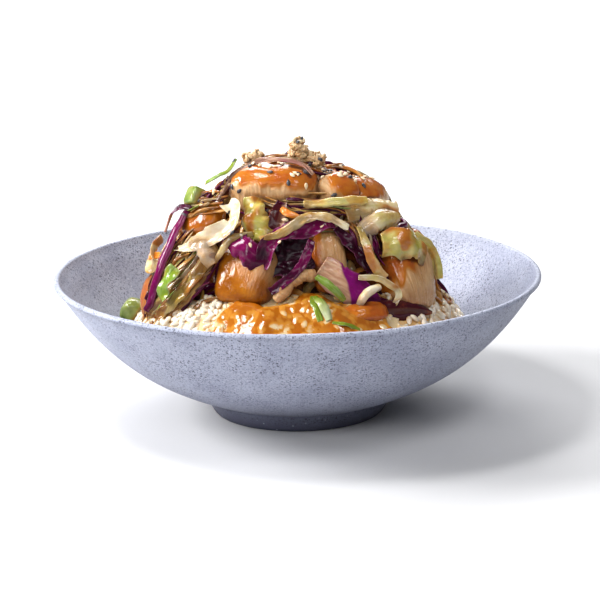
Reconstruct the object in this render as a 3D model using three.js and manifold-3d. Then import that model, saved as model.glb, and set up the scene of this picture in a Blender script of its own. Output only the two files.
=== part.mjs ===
// A bowl of chicken teriyaki donburi: a speckled stoneware bowl on a foot ring, a bed of rice,
// and on it a heap of shredded vegetables with glazed chicken, cabbage, spring onion, carrot,
// crisp crumbs and sesame seeds. Millimetres, +Z up, origin at the centre of the foot's underside.
// The side that is served towards the diner faces -Y.
import * as THREE from "three";
import { mergeVertices } from "three/addons/utils/BufferGeometryUtils.js";
import Module from "manifold-3d";

const wasm = await Module();
wasm.setup();

// The bowl
const RIM_RADIUS = 120;
const BOWL_HEIGHT = 70;
const FOOT_RADIUS = 42;
const FOOT_TOP_RADIUS = 45;
const FOOT_HEIGHT = 8.4;
const FOOT_RECESS_RADIUS = 36;
const FOOT_RECESS_DEPTH = 3.5;
const BASE_THICKNESS = 6;
const WELL_DIP = 0.4; // how much lower the well's middle is than its edge
const WALL_THICKNESS = 5.2; // at the foot, from where the wall thins towards the lip
const LIP_THICKNESS = 3.2;
const WALL_STRAIGHT_SHARE = 0.47; // how much of the wall's rise is a straight slope, the rest curves
const WALL_CURVE_POWER = 3;
const BOWL_SEGMENTS = 48;
const WALL_STEPS = 5;

// The bed of rice, a dome that meets the bowl's wall
const RICE_RADIUS = 87;
const RICE_EDGE_Z = 35;
const RICE_RISE = 36;
const RICE_DOME_POWER = 4.5;
const RICE_WAVE = 0.9;
const RICE_SEGMENTS = 24;
const RICE_RINGS = 7;
const RICE_OVERREACH = 6; // how far the dome is drawn past its edge before the wall trims it
const GRAIN_LENGTH = 6.4;
const GRAIN_WIDTH = 3.3;
const GRAIN_COUNT = 40;
const GRAIN_INNER_RADIUS = 56;

// The heap on the rice, as seen from above an oval, and from the side a tall dome
const HEAP_HALF_WIDTH = 78;
const HEAP_HALF_DEPTH = 54;
const HEAP_BASE_Z = 50;
const HEAP_RISE = 82;
const HEAP_POWER = 1.48;
const HEAP_CORE_LIFT = -9;
const CORE_BEARINGS = 24;
const CORE_LATITUDES = [-6, 8, 20, 32, 44, 56, 68, 79];
const SHRED_COUNT = 18;
const SHRED_SPREAD = 240; // degrees of bearing round the back that the shreds fill
const SHRED_THICKNESS = 2.2;
const SHRED_HUMP = 7; // how far a shred's middle stands out of the core

// Sesame seeds
const SEED_LENGTH = 3.3;
const SEED_WIDTH = 2.1;
const SEED_TRIES = 60;
const SEED_SIDEWAYS = 0.8; // how far round a piece its seeds may lie, as a share of its outward way
const SEED_LOWEST = -0.35;
const SEED_HIGHEST = 0.95;

// Turns by this share of a full circle never repeat, so they spread things evenly
const GOLDEN_SHARE = 0.618034;

// What touches is kept this far apart
const GAP = 0.5;
const SIMPLER_BY = 0.2; // how far a fitted piece's surface may move when its faces are thinned out
const LEAF_FROM = 6; // a strip wider than this bends across its width too
const END_SHARE = 0.25; // how much of a strip's length narrows towards each end
const MERGE_WITHIN = 1e-3;
const SLOPE_STEP = 0.5; // the small step over which a slope or direction is measured

const degrees = THREE.MathUtils.degToRad;

// A seeded draw from 0 to 1, the same every time
function dice(seed) {
  let state = seed;
  return () => {
    state = (state * 1664525 + 1013904223) % 4294967296;
    return state / 4294967296;
  };
}

// A three.js geometry as a closed solid
function solidOf(geometry) {
  const plain = geometry.clone();
  plain.deleteAttribute("normal");
  plain.deleteAttribute("uv");
  const merged = mergeVertices(plain, MERGE_WITHIN);
  return new wasm.Manifold(
    new wasm.Mesh({
      numProp: 3,
      vertProperties: merged.attributes.position.array,
      triVerts: new Uint32Array(merged.index.array),
    }),
  );
}

// A closed solid as a three.js geometry whose own zero is at the place given
function geometryOf(solid, place) {
  const mesh = solid.getMesh();
  const vertices = new Float32Array(mesh.numVert * 3);
  for (let i = 0; i < mesh.numVert; i++) {
    vertices.set(mesh.vertProperties.subarray(i * mesh.numProp, i * mesh.numProp + 3), i * 3);
  }
  const geometry = new THREE.BufferGeometry();
  geometry.setAttribute("position", new THREE.BufferAttribute(vertices, 3));
  geometry.setIndex(new THREE.BufferAttribute(mesh.triVerts, 1));
  geometry.translate(-place.x, -place.y, -place.z);
  geometry.computeVertexNormals();
  return geometry;
}

// A solid that a cut left in several bodies, as its largest one
function largestBody(solid) {
  const bodies = solid.decompose();
  return bodies.reduce((best, body) => (body.volume() > best.volume() ? body : best), bodies[0]);
}

// A cut solid's largest body with fewer faces, as long as that keeps it out of the others
function thinned(solid, others) {
  const body = largestBody(solid);
  const simple = largestBody(body.simplify(SIMPLER_BY));
  const near = others.filter((other) => boxesMeet(simple, other));
  return near.every((other) => simple.intersect(other).volume() === 0) ? simple : body;
}

// Whether two solids' boxes come within the gap of each other
function boxesMeet(a, b) {
  const boxA = a.boundingBox();
  const boxB = b.boundingBox();
  return [0, 1, 2].every((i) => boxA.min[i] - GAP < boxB.max[i] && boxB.min[i] - GAP < boxA.max[i]);
}

// The outer wall's height at a radius, from the foot's top to the rim
function wallOuterZ(radius) {
  const share = (radius - FOOT_TOP_RADIUS) / (RIM_RADIUS - FOOT_TOP_RADIUS);
  const curve = (1 - WALL_STRAIGHT_SHARE) * share ** WALL_CURVE_POWER;
  return FOOT_HEIGHT + (BOWL_HEIGHT - FOOT_HEIGHT) * (WALL_STRAIGHT_SHARE * share + curve);
}

// A point of the inner wall: the outer wall's point, moved inwards by the wall's thickness
function wallInner(radius, thickness) {
  const rise = wallOuterZ(radius + SLOPE_STEP) - wallOuterZ(radius - SLOPE_STEP);
  const slope = rise / (2 * SLOPE_STEP);
  const length = Math.hypot(1, slope);
  const x = radius - (thickness * slope) / length;
  return new THREE.Vector2(x, wallOuterZ(radius) + thickness / length);
}

// The inner surface as a profile from the axis out to the lip, moved in by a gap
function innerProfile(gap) {
  const well = BASE_THICKNESS + FOOT_RECESS_DEPTH + gap;
  const points = [new THREE.Vector2(0, well), new THREE.Vector2(FOOT_RADIUS * 0.6, well + WELL_DIP)];
  for (let i = 0; i <= WALL_STEPS; i++) {
    const share = i / WALL_STEPS;
    const radius = THREE.MathUtils.lerp(FOOT_TOP_RADIUS + 1, RIM_RADIUS - LIP_THICKNESS * 0.3, share);
    const thickness = THREE.MathUtils.lerp(WALL_THICKNESS, LIP_THICKNESS, share ** 2);
    points.push(wallInner(radius, thickness + gap));
  }
  return points;
}

// The bowl: inner wall, rounded lip, outer wall, foot ring and the recess under it
function makeBowl() {
  const profile = innerProfile(0);
  const last = profile[profile.length - 1];
  const lipTop = new THREE.Vector2(RIM_RADIUS - LIP_THICKNESS * 0.45, BOWL_HEIGHT);
  last.y = Math.min(last.y, BOWL_HEIGHT - 0.8);
  profile.push(lipTop, new THREE.Vector2(RIM_RADIUS, BOWL_HEIGHT - LIP_THICKNESS * 0.45));
  for (let i = WALL_STEPS; i >= 0; i--) {
    const radius = THREE.MathUtils.lerp(FOOT_TOP_RADIUS, RIM_RADIUS - 1.2, i / WALL_STEPS);
    profile.push(new THREE.Vector2(radius, wallOuterZ(radius)));
  }
  profile.push(
    new THREE.Vector2(FOOT_TOP_RADIUS - 0.6, FOOT_HEIGHT * 0.5),
    new THREE.Vector2(FOOT_RADIUS + 0.6, FOOT_HEIGHT * 0.12),
    new THREE.Vector2(FOOT_RADIUS - 0.6, 0),
    new THREE.Vector2(FOOT_RECESS_RADIUS + 0.8, 0),
    new THREE.Vector2(FOOT_RECESS_RADIUS, FOOT_RECESS_DEPTH),
    new THREE.Vector2(0, FOOT_RECESS_DEPTH),
  );
  return facingOut(lathe(profile));
}

// A turned solid, stood up along +Z
function lathe(profile, segments = BOWL_SEGMENTS) {
  const geometry = new THREE.LatheGeometry(profile, segments);
  geometry.rotateX(Math.PI / 2);
  return geometry;
}

// A closed geometry as a solid whose faces point out
function facingOut(geometry) {
  const solid = solidOf(geometry);
  if (solid.volume() > 0) return solid;
  const index = geometry.index.array;
  for (let i = 0; i < index.length; i += 3) [index[i], index[i + 1]] = [index[i + 1], index[i]];
  return solidOf(geometry);
}

// The height of the bare rice at a place
function riceTop(x, y) {
  const share = Math.hypot(x, y) / RICE_RADIUS;
  const wave = Math.sin(x * 0.21 + 1) * Math.cos(y * 0.24) + Math.sin((x + y) * 0.11);
  return RICE_EDGE_Z + RICE_RISE * (1 - share ** RICE_DOME_POWER) + RICE_WAVE * wave;
}

// The bare rice, from the bowl's inner wall up to its uneven dome, raised by a gap
function makeRiceCore(gap) {
  const cavity = innerProfile(GAP - gap);
  const above = RICE_EDGE_Z + 2 * RICE_RISE;
  cavity.push(new THREE.Vector2(cavity[cavity.length - 1].x, above), new THREE.Vector2(0, above));
  const hollow = facingOut(lathe(cavity, RICE_SEGMENTS));
  const reach = RICE_RADIUS + RICE_OVERREACH;
  const dome = [new THREE.Vector2(0, 0), new THREE.Vector2(reach, 0)];
  for (let i = RICE_RINGS; i >= 0; i--) dome.push(new THREE.Vector2((reach * i) / RICE_RINGS, RICE_EDGE_Z));
  const raised = lathe(dome, RICE_SEGMENTS);
  const position = raised.attributes.position;
  for (let i = 0; i < position.count; i++) {
    if (position.getZ(i) > 1) {
      position.setZ(i, riceTop(position.getX(i), position.getY(i)) + gap);
    }
  }
  return hollow.intersect(facingOut(raised));
}

// A place on the heap's outside. Bearing 0 faces the diner and 90 is to the right, latitude runs
// from 0 at the heap's base to 90 at its top, both in degrees, and lift is the distance outwards.
function onHeap([bearing, latitude, lift = 0]) {
  const at = (b, l) => {
    const side = degrees(b);
    const up = degrees(l);
    const rise = Math.sign(up) * Math.abs(Math.sin(up)) ** HEAP_POWER;
    return new THREE.Vector3(
      HEAP_HALF_WIDTH * Math.cos(up) * Math.sin(side),
      -HEAP_HALF_DEPTH * Math.cos(up) * Math.cos(side),
      HEAP_BASE_Z + HEAP_RISE * rise,
    );
  };
  const point = at(bearing, latitude);
  const around = at(bearing + SLOPE_STEP, latitude).sub(at(bearing - SLOPE_STEP, latitude)).normalize();
  const upward = at(bearing, latitude + SLOPE_STEP).sub(at(bearing, latitude - SLOPE_STEP)).normalize();
  const out = new THREE.Vector3().crossVectors(around, upward).normalize();
  upward.crossVectors(out, around);
  return { point: point.addScaledVector(out, lift), around, upward, out };
}

// A place on the rice, by bearing, distance from the bowl's axis and lift
function onRice([bearing, radius, lift = 0]) {
  const side = degrees(bearing);
  const x = radius * Math.sin(side);
  const y = -radius * Math.cos(side);
  const share = radius / RICE_RADIUS;
  const slope = (-RICE_RISE * RICE_DOME_POWER * share ** (RICE_DOME_POWER - 1)) / RICE_RADIUS;
  const outward = new THREE.Vector3(Math.sin(side), -Math.cos(side), 0);
  const out = new THREE.Vector3(-slope * outward.x, -slope * outward.y, 1).normalize();
  const around = new THREE.Vector3(Math.cos(side), Math.sin(side), 0);
  const upward = new THREE.Vector3().crossVectors(out, around);
  const point = new THREE.Vector3(x, y, riceTop(x, y)).addScaledVector(out, lift);
  return { point, around, upward, out };
}

const placeOf = (piece, where) => (piece.rice ? onRice(where) : onHeap(where));

// Soft lumps on a direction, from about -1 to 1
function lumps(d, seed) {
  const first = Math.sin(2.3 * d.x + seed) * Math.sin(2.9 * d.y + 2 * seed);
  const second = Math.sin(4.1 * d.z + 3 * seed) * Math.cos(3.7 * d.x - seed);
  const third = Math.sin(6.3 * d.y + 5 * seed) * Math.sin(5.9 * d.z + seed);
  return 0.5 * first + 0.3 * second + 0.2 * third;
}

// A chunk lying on the heap: length, width and thickness, rounded by its squareness and lumpy.
// Turn is its spin on the slope, its tilt about the level line and its lean about the slope line.
function chunk(piece, grow = 0) {
  const { at, size, turn = [0, 0, 0], square = 3, rough = 0.06, seed = 1, detail = 2 } = piece;
  const { point, around, upward, out } = placeOf(piece, at);
  const frame = new THREE.Matrix4().makeBasis(around, upward, out);
  const [spin, tilt, lean] = turn.map(degrees);
  frame.multiply(new THREE.Matrix4().makeRotationFromEuler(new THREE.Euler(tilt, lean, spin, "XYZ")));
  frame.setPosition(point);
  const geometry = new THREE.IcosahedronGeometry(1, detail);
  const position = geometry.attributes.position;
  const d = new THREE.Vector3();
  for (let i = 0; i < position.count; i++) {
    d.fromBufferAttribute(position, i).normalize();
    const powers = [d.x, d.y, d.z].map((part) => Math.abs(part) ** square);
    const scale = (powers[0] + powers[1] + powers[2]) ** (-1 / square) * (1 + rough * lumps(d, seed));
    position.setXYZ(
      i,
      d.x * (scale * size[0] * 0.5 + grow),
      d.y * (scale * size[1] * 0.5 + grow),
      d.z * (scale * size[2] * 0.5 + grow),
    );
  }
  return solidOf(geometry.applyMatrix4(frame));
}

// A strip or leaf that runs along a route of places: width and thickness, narrowed towards its
// ends by their shares, rolled about its own line, curled across by its cup and rippled at its edges.
function strip(piece, grow = 0) {
  const { route, width, thick, ends = [0.7, 0.7], roll = [0, 0], cup = 0 } = piece;
  const { ripple = 0, waves = 1.5, steps = 6, across = width > LEAF_FROM ? 2 : 1 } = piece;
  const places = route.map((where) => placeOf(piece, where));
  const line = new THREE.CatmullRomCurve3(places.map((p) => p.point), false, "catmullrom", 0.5);
  const rows = [];
  for (let i = 0; i <= steps; i++) {
    const share = i / steps;
    const tangent = line.getTangent(share);
    const point = line.getPoint(share);
    const leg = Math.min(share * (places.length - 1), places.length - 1 - 1e-6);
    const before = places[Math.floor(leg)].out;
    const after = places[Math.floor(leg) + 1].out;
    const out = before.clone().lerp(after, leg % 1);
    out.addScaledVector(tangent, -out.dot(tangent)).normalize();
    out.applyAxisAngle(tangent, degrees(THREE.MathUtils.lerp(roll[0], roll[1], share)));
    const side = new THREE.Vector3().crossVectors(tangent, out);
    if (i === 0) point.addScaledVector(tangent, -grow);
    if (i === steps) point.addScaledVector(tangent, grow);
    const nearStart = THREE.MathUtils.lerp(ends[0], 1, Math.min(1, share / END_SHARE));
    const nearEnd = THREE.MathUtils.lerp(ends[1], 1, Math.min(1, (1 - share) / END_SHARE));
    const half = 0.5 * width * Math.min(nearStart, nearEnd) + grow;
    const row = { top: [], bottom: [] };
    for (let j = 0; j <= across; j++) {
      const v = (2 * j) / across - 1;
      const phase = v > 0 ? 1 : 4;
      const wave = ripple * Math.abs(v) * Math.sin(2 * Math.PI * waves * share + phase);
      const middle = point.clone().addScaledVector(side, v * half);
      middle.addScaledVector(out, cup * v * v + wave);
      row.top.push(middle.clone().addScaledVector(out, thick / 2 + grow));
      row.bottom.push(middle.clone().addScaledVector(out, -thick / 2 - grow));
    }
    rows.push(row);
  }
  return closedSheet(rows);
}

// Rows of top and bottom points as one closed solid, both faces split alike
function closedSheet(rows) {
  const columns = rows[0].top.length;
  const edge = columns - 1;
  const points = rows.flatMap((row) => [...row.top, ...row.bottom]);
  const top = (i, j) => i * 2 * columns + j;
  const bottom = (i, j) => top(i, j) + columns;
  const faces = [];
  const quad = (a, b, c, d) => faces.push(a, b, c, a, c, d);
  for (let i = 0; i + 1 < rows.length; i++) {
    for (let j = 0; j + 1 < columns; j++) {
      quad(top(i, j), top(i, j + 1), top(i + 1, j + 1), top(i + 1, j));
      faces.push(bottom(i, j), bottom(i + 1, j + 1), bottom(i, j + 1));
      faces.push(bottom(i, j), bottom(i + 1, j), bottom(i + 1, j + 1));
    }
    quad(bottom(i, 0), top(i, 0), top(i + 1, 0), bottom(i + 1, 0));
    quad(top(i, edge), bottom(i, edge), bottom(i + 1, edge), top(i + 1, edge));
  }
  const last = rows.length - 1;
  for (let j = 0; j + 1 < columns; j++) {
    quad(bottom(0, j), bottom(0, j + 1), top(0, j + 1), top(0, j));
    quad(top(last, j), top(last, j + 1), bottom(last, j + 1), bottom(last, j));
  }
  const geometry = new THREE.BufferGeometry().setFromPoints(points);
  geometry.setIndex(faces);
  return facingOut(geometry);
}

// A small grain, or a seed of fewer faces, at a point and lying along a direction
function grain(point, along, length, width, faces = THREE.IcosahedronGeometry) {
  const geometry = new faces(0.5, 0);
  geometry.scale(width, width, length);
  const turn = new THREE.Quaternion().setFromUnitVectors(new THREE.Vector3(0, 0, 1), along);
  geometry.applyQuaternion(turn);
  geometry.translate(point.x, point.y, point.z);
  return solidOf(geometry);
}

// The heap's bare core, a dome under its outside, raised by a gap
function makeHeapCore(gap) {
  const lift = HEAP_CORE_LIFT + gap;
  const points = [];
  for (const latitude of CORE_LATITUDES) {
    for (let i = 0; i < CORE_BEARINGS; i++) {
      points.push(onHeap([(360 * i) / CORE_BEARINGS, latitude, lift]).point);
    }
  }
  const faces = [];
  for (let k = 0; k + 1 < CORE_LATITUDES.length; k++) {
    for (let i = 0; i < CORE_BEARINGS; i++) {
      const next = (i + 1) % CORE_BEARINGS;
      const low = k * CORE_BEARINGS;
      const high = low + CORE_BEARINGS;
      faces.push(low + i, low + next, high + next);
      faces.push(low + i, high + next, high + i);
    }
  }
  const foot = points.push(new THREE.Vector3(0, 0, points[0].z)) - 1;
  const peak = points.push(onHeap([0, 90, lift]).point.setX(0).setY(0)) - 1;
  const upper = (CORE_LATITUDES.length - 1) * CORE_BEARINGS;
  for (let i = 0; i < CORE_BEARINGS; i++) {
    const next = (i + 1) % CORE_BEARINGS;
    faces.push(foot, next, i);
    faces.push(peak, upper + i, upper + next);
  }
  const geometry = new THREE.BufferGeometry().setFromPoints(points);
  geometry.setIndex(faces);
  return facingOut(geometry);
}

// Glazed chicken. Seeds are sesame seeds on it: how many lie on its outer face.
const CHICKEN = [
  {
    name: "chicken_top_slice", at: [-22, 65, -8], size: [43, 25, 24], turn: [2, -28, 0], square: 2.6,
    seed: 2, seeds: 4,
  },
  {
    name: "chicken_top_right", at: [33, 60, -7], size: [19, 17, 21], turn: [8, -15, 0], square: 3.2,
    detail: 1, seed: 5, seeds: 3,
  },
  {
    name: "chicken_fold_right", at: [69, 58, -8], size: [29, 18, 16], turn: [-10, -8, 6], square: 2.6,
    seed: 9, seeds: 4,
  },
  {
    name: "chicken_upper_left", at: [-66, 47, -4], size: [27, 19, 13], turn: [20, 0, 0], square: 2.8,
    detail: 1, seed: 4, seeds: 4,
  },
  {
    name: "chicken_front_left", at: [-21, 30, -7], size: [29, 30, 22], turn: [-4, -6, -14], square: 4.2,
    seed: 7,
  },
  {
    name: "chicken_centre", at: [14, 35, -6], size: [18, 32, 16], turn: [6, 0, 0], square: 3, detail: 1,
    seed: 3,
  },
  {
    name: "chicken_right", at: [52, 25, -6], size: [30, 33, 23], turn: [-6, 0, 8], square: 3.4, seed: 6,
  },
  {
    name: "chicken_under_sauce", at: [30, 64, 0], rice: true, size: [24, 12, 9], turn: [-6, 0, 0],
    square: 2.4, detail: 1, seed: 8,
  },
  {
    name: "chicken_lower_left", at: [-74, 16, -3], size: [20, 22, 12], turn: [25, 0, 0], square: 2.8,
    detail: 1, seed: 11,
  },
  {
    name: "chicken_back_high", at: [165, 55, -5], size: [36, 22, 16], turn: [-12, -10, 0], square: 3,
    detail: 1, seed: 12, seeds: 5,
  },
  {
    name: "chicken_back_left", at: [236, 30, -8], size: [32, 24, 17], turn: [16, 0, 0], square: 4.4,
    detail: 1, seed: 13,
  },
  {
    name: "chicken_back_right", at: [124, 26, -8], size: [32, 23, 17], turn: [-20, 0, 0], square: 4.4,
    detail: 1, seed: 14,
  },
];

const CHICKEN_STRIP = {
  name: "chicken_strip_front", route: [[-8, 21, 3], [-4, 26, 5], [1, 29, 5], [7, 30, 3]],
  width: 7, thick: 5.5, ends: [0.5, 0.6], across: 3, cup: -1.2,
};

// Red cabbage: ribs, ruffled leaves and shreds
const RED_CABBAGE = [
  {
    name: "red_cabbage_stem",
    route: [[-72, 47, 4], [-66, 39, 6], [-62, 28, 7], [-63, 17, 6], [-65, 10, 5]], width: 5.4,
    thick: 2.4, cup: -0.6,
  },
  {
    name: "red_cabbage_rim_shred", route: [[-68, 48, 4], [-80, 47, 6], [-94, 43, 5], [-92, 37, 3]],
    width: 4, thick: 1.3,
  },
  {
    name: "red_cabbage_arc",
    route: [
      [-51, 53, 3], [-53, 59, 3], [-54, 64, 3.5], [-44, 70, 4], [-22, 72, 4.5], [4, 70, 4.5],
      [14, 65, 4],
    ],
    width: 3.4, thick: 1.4, steps: 10,
  },
  {
    name: "red_cabbage_lobe", route: [[-31, 40, 4], [-21, 37, 8], [-11, 33, 5]], width: 12, thick: 1.3,
    cup: -2.4, ripple: 1, across: 3,
  },
  {
    name: "red_cabbage_band", route: [[-14, 32, 5], [-12, 39, 8], [-5, 43, 8], [6, 45, 7], [18, 46, 5]],
    width: 9, thick: 1.3, cup: 1.6, ripple: 1.2, waves: 2.5, steps: 12,
  },
  {
    name: "red_cabbage_hollow", route: [[-16, 36, 0], [-5, 35, -2], [7, 37, 0]], width: 22, thick: 1.3,
    cup: 3.5, ripple: 1,
  },
  {
    name: "red_cabbage_diagonal", route: [[-10, 24, 5], [-4, 28, 7], [2, 33, 7], [6, 41, 5]], width: 5,
    thick: 1.6, cup: 0.8,
  },
  {
    name: "red_cabbage_leaf_right", route: [[9, 32, 5], [19, 25, 6], [29, 17, 5]], width: 17, thick: 2,
    cup: -1.2, roll: [8, -6], across: 3, ends: [0.75, 0.6],
  },
  {
    name: "red_cabbage_dark_right", route: [[19, 45, 2], [25, 37, 3], [29, 32, 3], [36, 25, 2]],
    width: 6, thick: 1.4, ripple: 1, waves: 3, steps: 10,
  },
  {
    name: "red_cabbage_wedge", route: [[21, 17, 4], [36, 14, 6], [52, 10, 5]], width: 10, thick: 4,
    cup: -1, ends: [0.8, 0.25],
  },
  {
    name: "red_cabbage_middle", route: [[-8, 55, 1], [-10, 49, 3], [-11, 43, 2]], width: 7, thick: 1.4,
    cup: 1.4,
  },
  {
    name: "red_cabbage_back_leaf", route: [[188, 44, -2], [182, 32, 1], [188, 18, -1]], width: 20,
    thick: 1.4, cup: -3, ripple: 1.6,
  },
  {
    name: "red_cabbage_back_stem", route: [[134, 54, -2], [140, 42, 0], [134, 28, 0], [138, 16, 0]],
    width: 6, thick: 2.2, cup: -0.6,
  },
];

// White and pale green cabbage
const PALE_CABBAGE = [
  {
    name: "pale_cabbage_leaf_left",
    route: [[-57, 35, 5], [-47, 38, 6], [-38, 41, 7], [-31, 45, 7], [-33, 50, 6], [-40, 52, 5]],
    width: 9, thick: 1.4, cup: 1.2, ripple: 1.2, ends: [0.35, 0.7], steps: 10, across: 3,
  },
  {
    name: "pale_cabbage_fold_left", route: [[-50, 38, 4], [-42, 37, 8], [-35, 32, 5]], width: 9,
    thick: 1.4, cup: -2.4,
  },
  {
    name: "pale_cabbage_shred_left", route: [[-36, 33, 4], [-30, 40, 6], [-20, 43, 5]], width: 4,
    thick: 1.3, roll: [0, 30],
  },
  {
    name: "pale_cabbage_shred_long",
    route: [[-15, 40, 9], [-6, 43, 11], [4, 47, 10.5], [14, 47, 9], [24, 44, 7]], width: 4.6, thick: 1.7,
    roll: [20, -20], steps: 12,
  },
  {
    name: "pale_cabbage_shred_right", route: [[30, 44, 5], [29, 37, 7], [31, 31, 7], [35, 27, 6]],
    width: 4.8, thick: 2, roll: [-10, 20], steps: 10,
  },
  {
    name: "pale_cabbage_wedge_right", route: [[31, 43, 3], [43, 45, 5], [57, 45, 4]], width: 10,
    thick: 5, cup: -2, ends: [0.6, 0.7],
  },
  {
    name: "pale_cabbage_glazed_right", route: [[27, 50, 2], [44, 50, 3], [63, 47, 3]], width: 12,
    thick: 1.8, cup: -1.4, ripple: 1, ends: [0.8, 0.9],
  },
  {
    name: "pale_cabbage_band", route: [[4, 53, 4], [21, 53, 6], [41, 52, 6]], width: 5, thick: 2.6,
    steps: 10,
  },
  {
    name: "pale_cabbage_chunk_middle", route: [[-27, 56, 3], [-21, 48, 5], [-13, 42, 3]], width: 13,
    thick: 1.6, cup: -2, ripple: 1.8, waves: 2.4,
  },
  {
    name: "pale_cabbage_on_chicken", route: [[60, 32, 7], [49, 36, 10], [37, 37, 8]], width: 16,
    thick: 2, cup: -2.5, ripple: 1.5, waves: 2, across: 3,
  },
  {
    name: "pale_cabbage_hook", route: [[23, 28, 7], [31, 26, 10], [37, 21, 9], [35, 16, 6]], width: 3.2,
    thick: 1.6, roll: [0, 40],
  },
  {
    name: "pale_cabbage_stub", route: [[21, 16, 7], [24, 22, 11], [30, 24, 9]], width: 4.6, thick: 3.6,
    cup: -0.6, steps: 6,
  },
  {
    name: "pale_cabbage_bundle_outer", route: [[-37, 35, 4], [-43, 26, 6], [-49, 17, 5], [-57, 7, 4]],
    width: 6, thick: 1.8, cup: 0.8, ripple: 0.8, steps: 10,
  },
  {
    name: "pale_cabbage_bundle_inner", route: [[-46, 36, 2], [-52, 28, 3], [-58, 18, 4], [-64, 8, 3]],
    width: 6, thick: 1.8, cup: -0.8, steps: 8,
  },
  {
    name: "pale_cabbage_curl_left", route: [[-94, 34, 2], [-84, 31, 4], [-75, 27, 3], [-67, 28, 2]],
    width: 8, thick: 1.3, cup: 2.2,
  },
  {
    name: "pale_cabbage_edge_right", route: [[66, 39, 2], [69, 34, 3], [69, 28, 3], [67, 22, 2]],
    width: 6, thick: 1.2, roll: [40, 20], cup: 1,
  },
  {
    name: "pale_cabbage_back_leaf", route: [[160, 36, -2], [154, 26, 1], [158, 12, 0]], width: 18,
    thick: 1.6, cup: -2.6, ripple: 1.5,
  },
  {
    name: "pale_cabbage_back_shred", route: [[206, 64, -2], [204, 52, 0], [206, 38, 0], [212, 24, -1]],
    width: 6, thick: 1.8, roll: [0, 30], steps: 8,
  },
];

// Spring onion, green leaf and green stem
const GREENS = [
  {
    name: "spring_onion_sprig", route: [[-71, 57, 6], [-62, 60, 7], [-56, 63, 7], [-60, 68, 7]],
    width: 2.6, thick: 1.1, ends: [0.8, 0.5],
  },
  {
    name: "green_leaf_left", route: [[-51, 29, 8], [-53, 23, 10], [-53, 17, 8]], width: 8, thick: 1.2,
    cup: 1.2, ripple: 1.2,
  },
  {
    name: "spring_onion_strip_front", route: [[7, 29, 10], [12, 25, 11], [16, 20, 9]], width: 4.2,
    thick: 1.2, cup: -0.6,
  },
  {
    name: "spring_onion_low_dark", rice: true, route: [[7, 54, 3], [8, 60, 4], [9, 67, 2.5]], width: 4,
    thick: 1.2, cup: -0.5,
  },
  {
    name: "spring_onion_low_light", rice: true, route: [[9, 55, 4], [10.5, 61, 6], [12, 68, 3.5]],
    width: 5, thick: 1.3, cup: -0.8,
  },
  {
    name: "spring_onion_low_thin", rice: true, route: [[13, 69, 3], [18, 71, 4], [23, 72, 3]],
    width: 2.4, thick: 1.1,
  },
];

const GREEN_CHUNKS = [
  {
    name: "green_stem_dice", at: [-74, 52, 4], size: [9.5, 9.5, 8], turn: [20, 10, 0], square: 6,
    rough: 0.05, seed: 3, detail: 2,
  },
  {
    name: "green_stem_far_left", rice: true, at: [-98, 80, 4], size: [15, 13, 12], square: 2.6,
    rough: 0.1, seed: 5, detail: 1,
  },
];

const CARROT = [
  {
    name: "carrot_shred_middle", route: [[-8, 52, 4], [-4, 50, 5], [1, 49, 4]], width: 3.4, thick: 1.8,
  },
  {
    name: "carrot_shred_left", route: [[-96, 30, 3], [-84, 29, 4], [-72, 32, 2]], width: 4, thick: 1.8,
  },
];

// Crisp crumbs on top
const CRUMBS = [
  {
    name: "crisp_crumb_peak", at: [4, 81, 1], size: [11, 10, 15], square: 2.2, rough: 0.35, seed: 7,
    detail: 1, seeds: 2,
  },
  {
    name: "crisp_crumb_left", at: [-71, 74, 1], size: [14, 8, 7], turn: [24, 0, 0], square: 2.4,
    rough: 0.3, seed: 9, detail: 1, seeds: 2,
  },
  {
    name: "crisp_crumb_right", at: [32, 76, -1], size: [12, 9, 7], square: 2.4, rough: 0.3, seed: 4,
    detail: 1, seeds: 2,
  },
];

const COLOURS = {
  bowl: [0xb4b6c4, 0.65],
  rice: [0xe9dfc9, 0.5],
  heap: [0xb98a4a, 0.35],
  chicken: [0xc98a4e, 0.3],
  red: [0x57224f, 0.3],
  pale: [0xd8cf95, 0.3],
  green: [0x7fa63a, 0.4],
  carrot: [0xd9772a, 0.35],
  crumb: [0xc79a5c, 0.7],
};

const materials = {};
for (const [key, [color, roughness]] of Object.entries(COLOURS)) {
  materials[key] = new THREE.MeshStandardMaterial({ color, roughness, metalness: 0 });
}

// The bare cores, and the same a gap larger for cutting what rests on them
const bowl = makeBowl();
const riceCore = makeRiceCore(0);
const riceEnvelope = makeRiceCore(GAP);
const heapCore = largestBody(makeHeapCore(0).subtract(riceEnvelope));
const heapEnvelope = makeHeapCore(GAP);
const bowlEnvelope = bowl.add(facingOut(lathe([...innerProfile(GAP), ...innerProfile(-1).reverse()])));

// Pieces that lie outermost come first and stay whole, and each is cut clear of those before it
const inOrder = [
  ...GREENS.map((piece) => ({ piece, form: strip, kind: "green" })),
  ...GREEN_CHUNKS.map((piece) => ({ piece, form: chunk, kind: "green" })),
  ...CARROT.map((piece) => ({ piece, form: strip, kind: "carrot" })),
  ...PALE_CABBAGE.map((piece) => ({ piece, form: strip, kind: "pale" })),
  ...RED_CABBAGE.map((piece) => ({ piece, form: strip, kind: "red" })),
  { piece: CHICKEN_STRIP, form: strip, kind: "chicken" },
  ...CRUMBS.map((piece) => ({ piece, form: chunk, kind: "crumb" })),
  ...CHICKEN.map((piece) => ({ piece, form: chunk, kind: "chicken" })),
];

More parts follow.
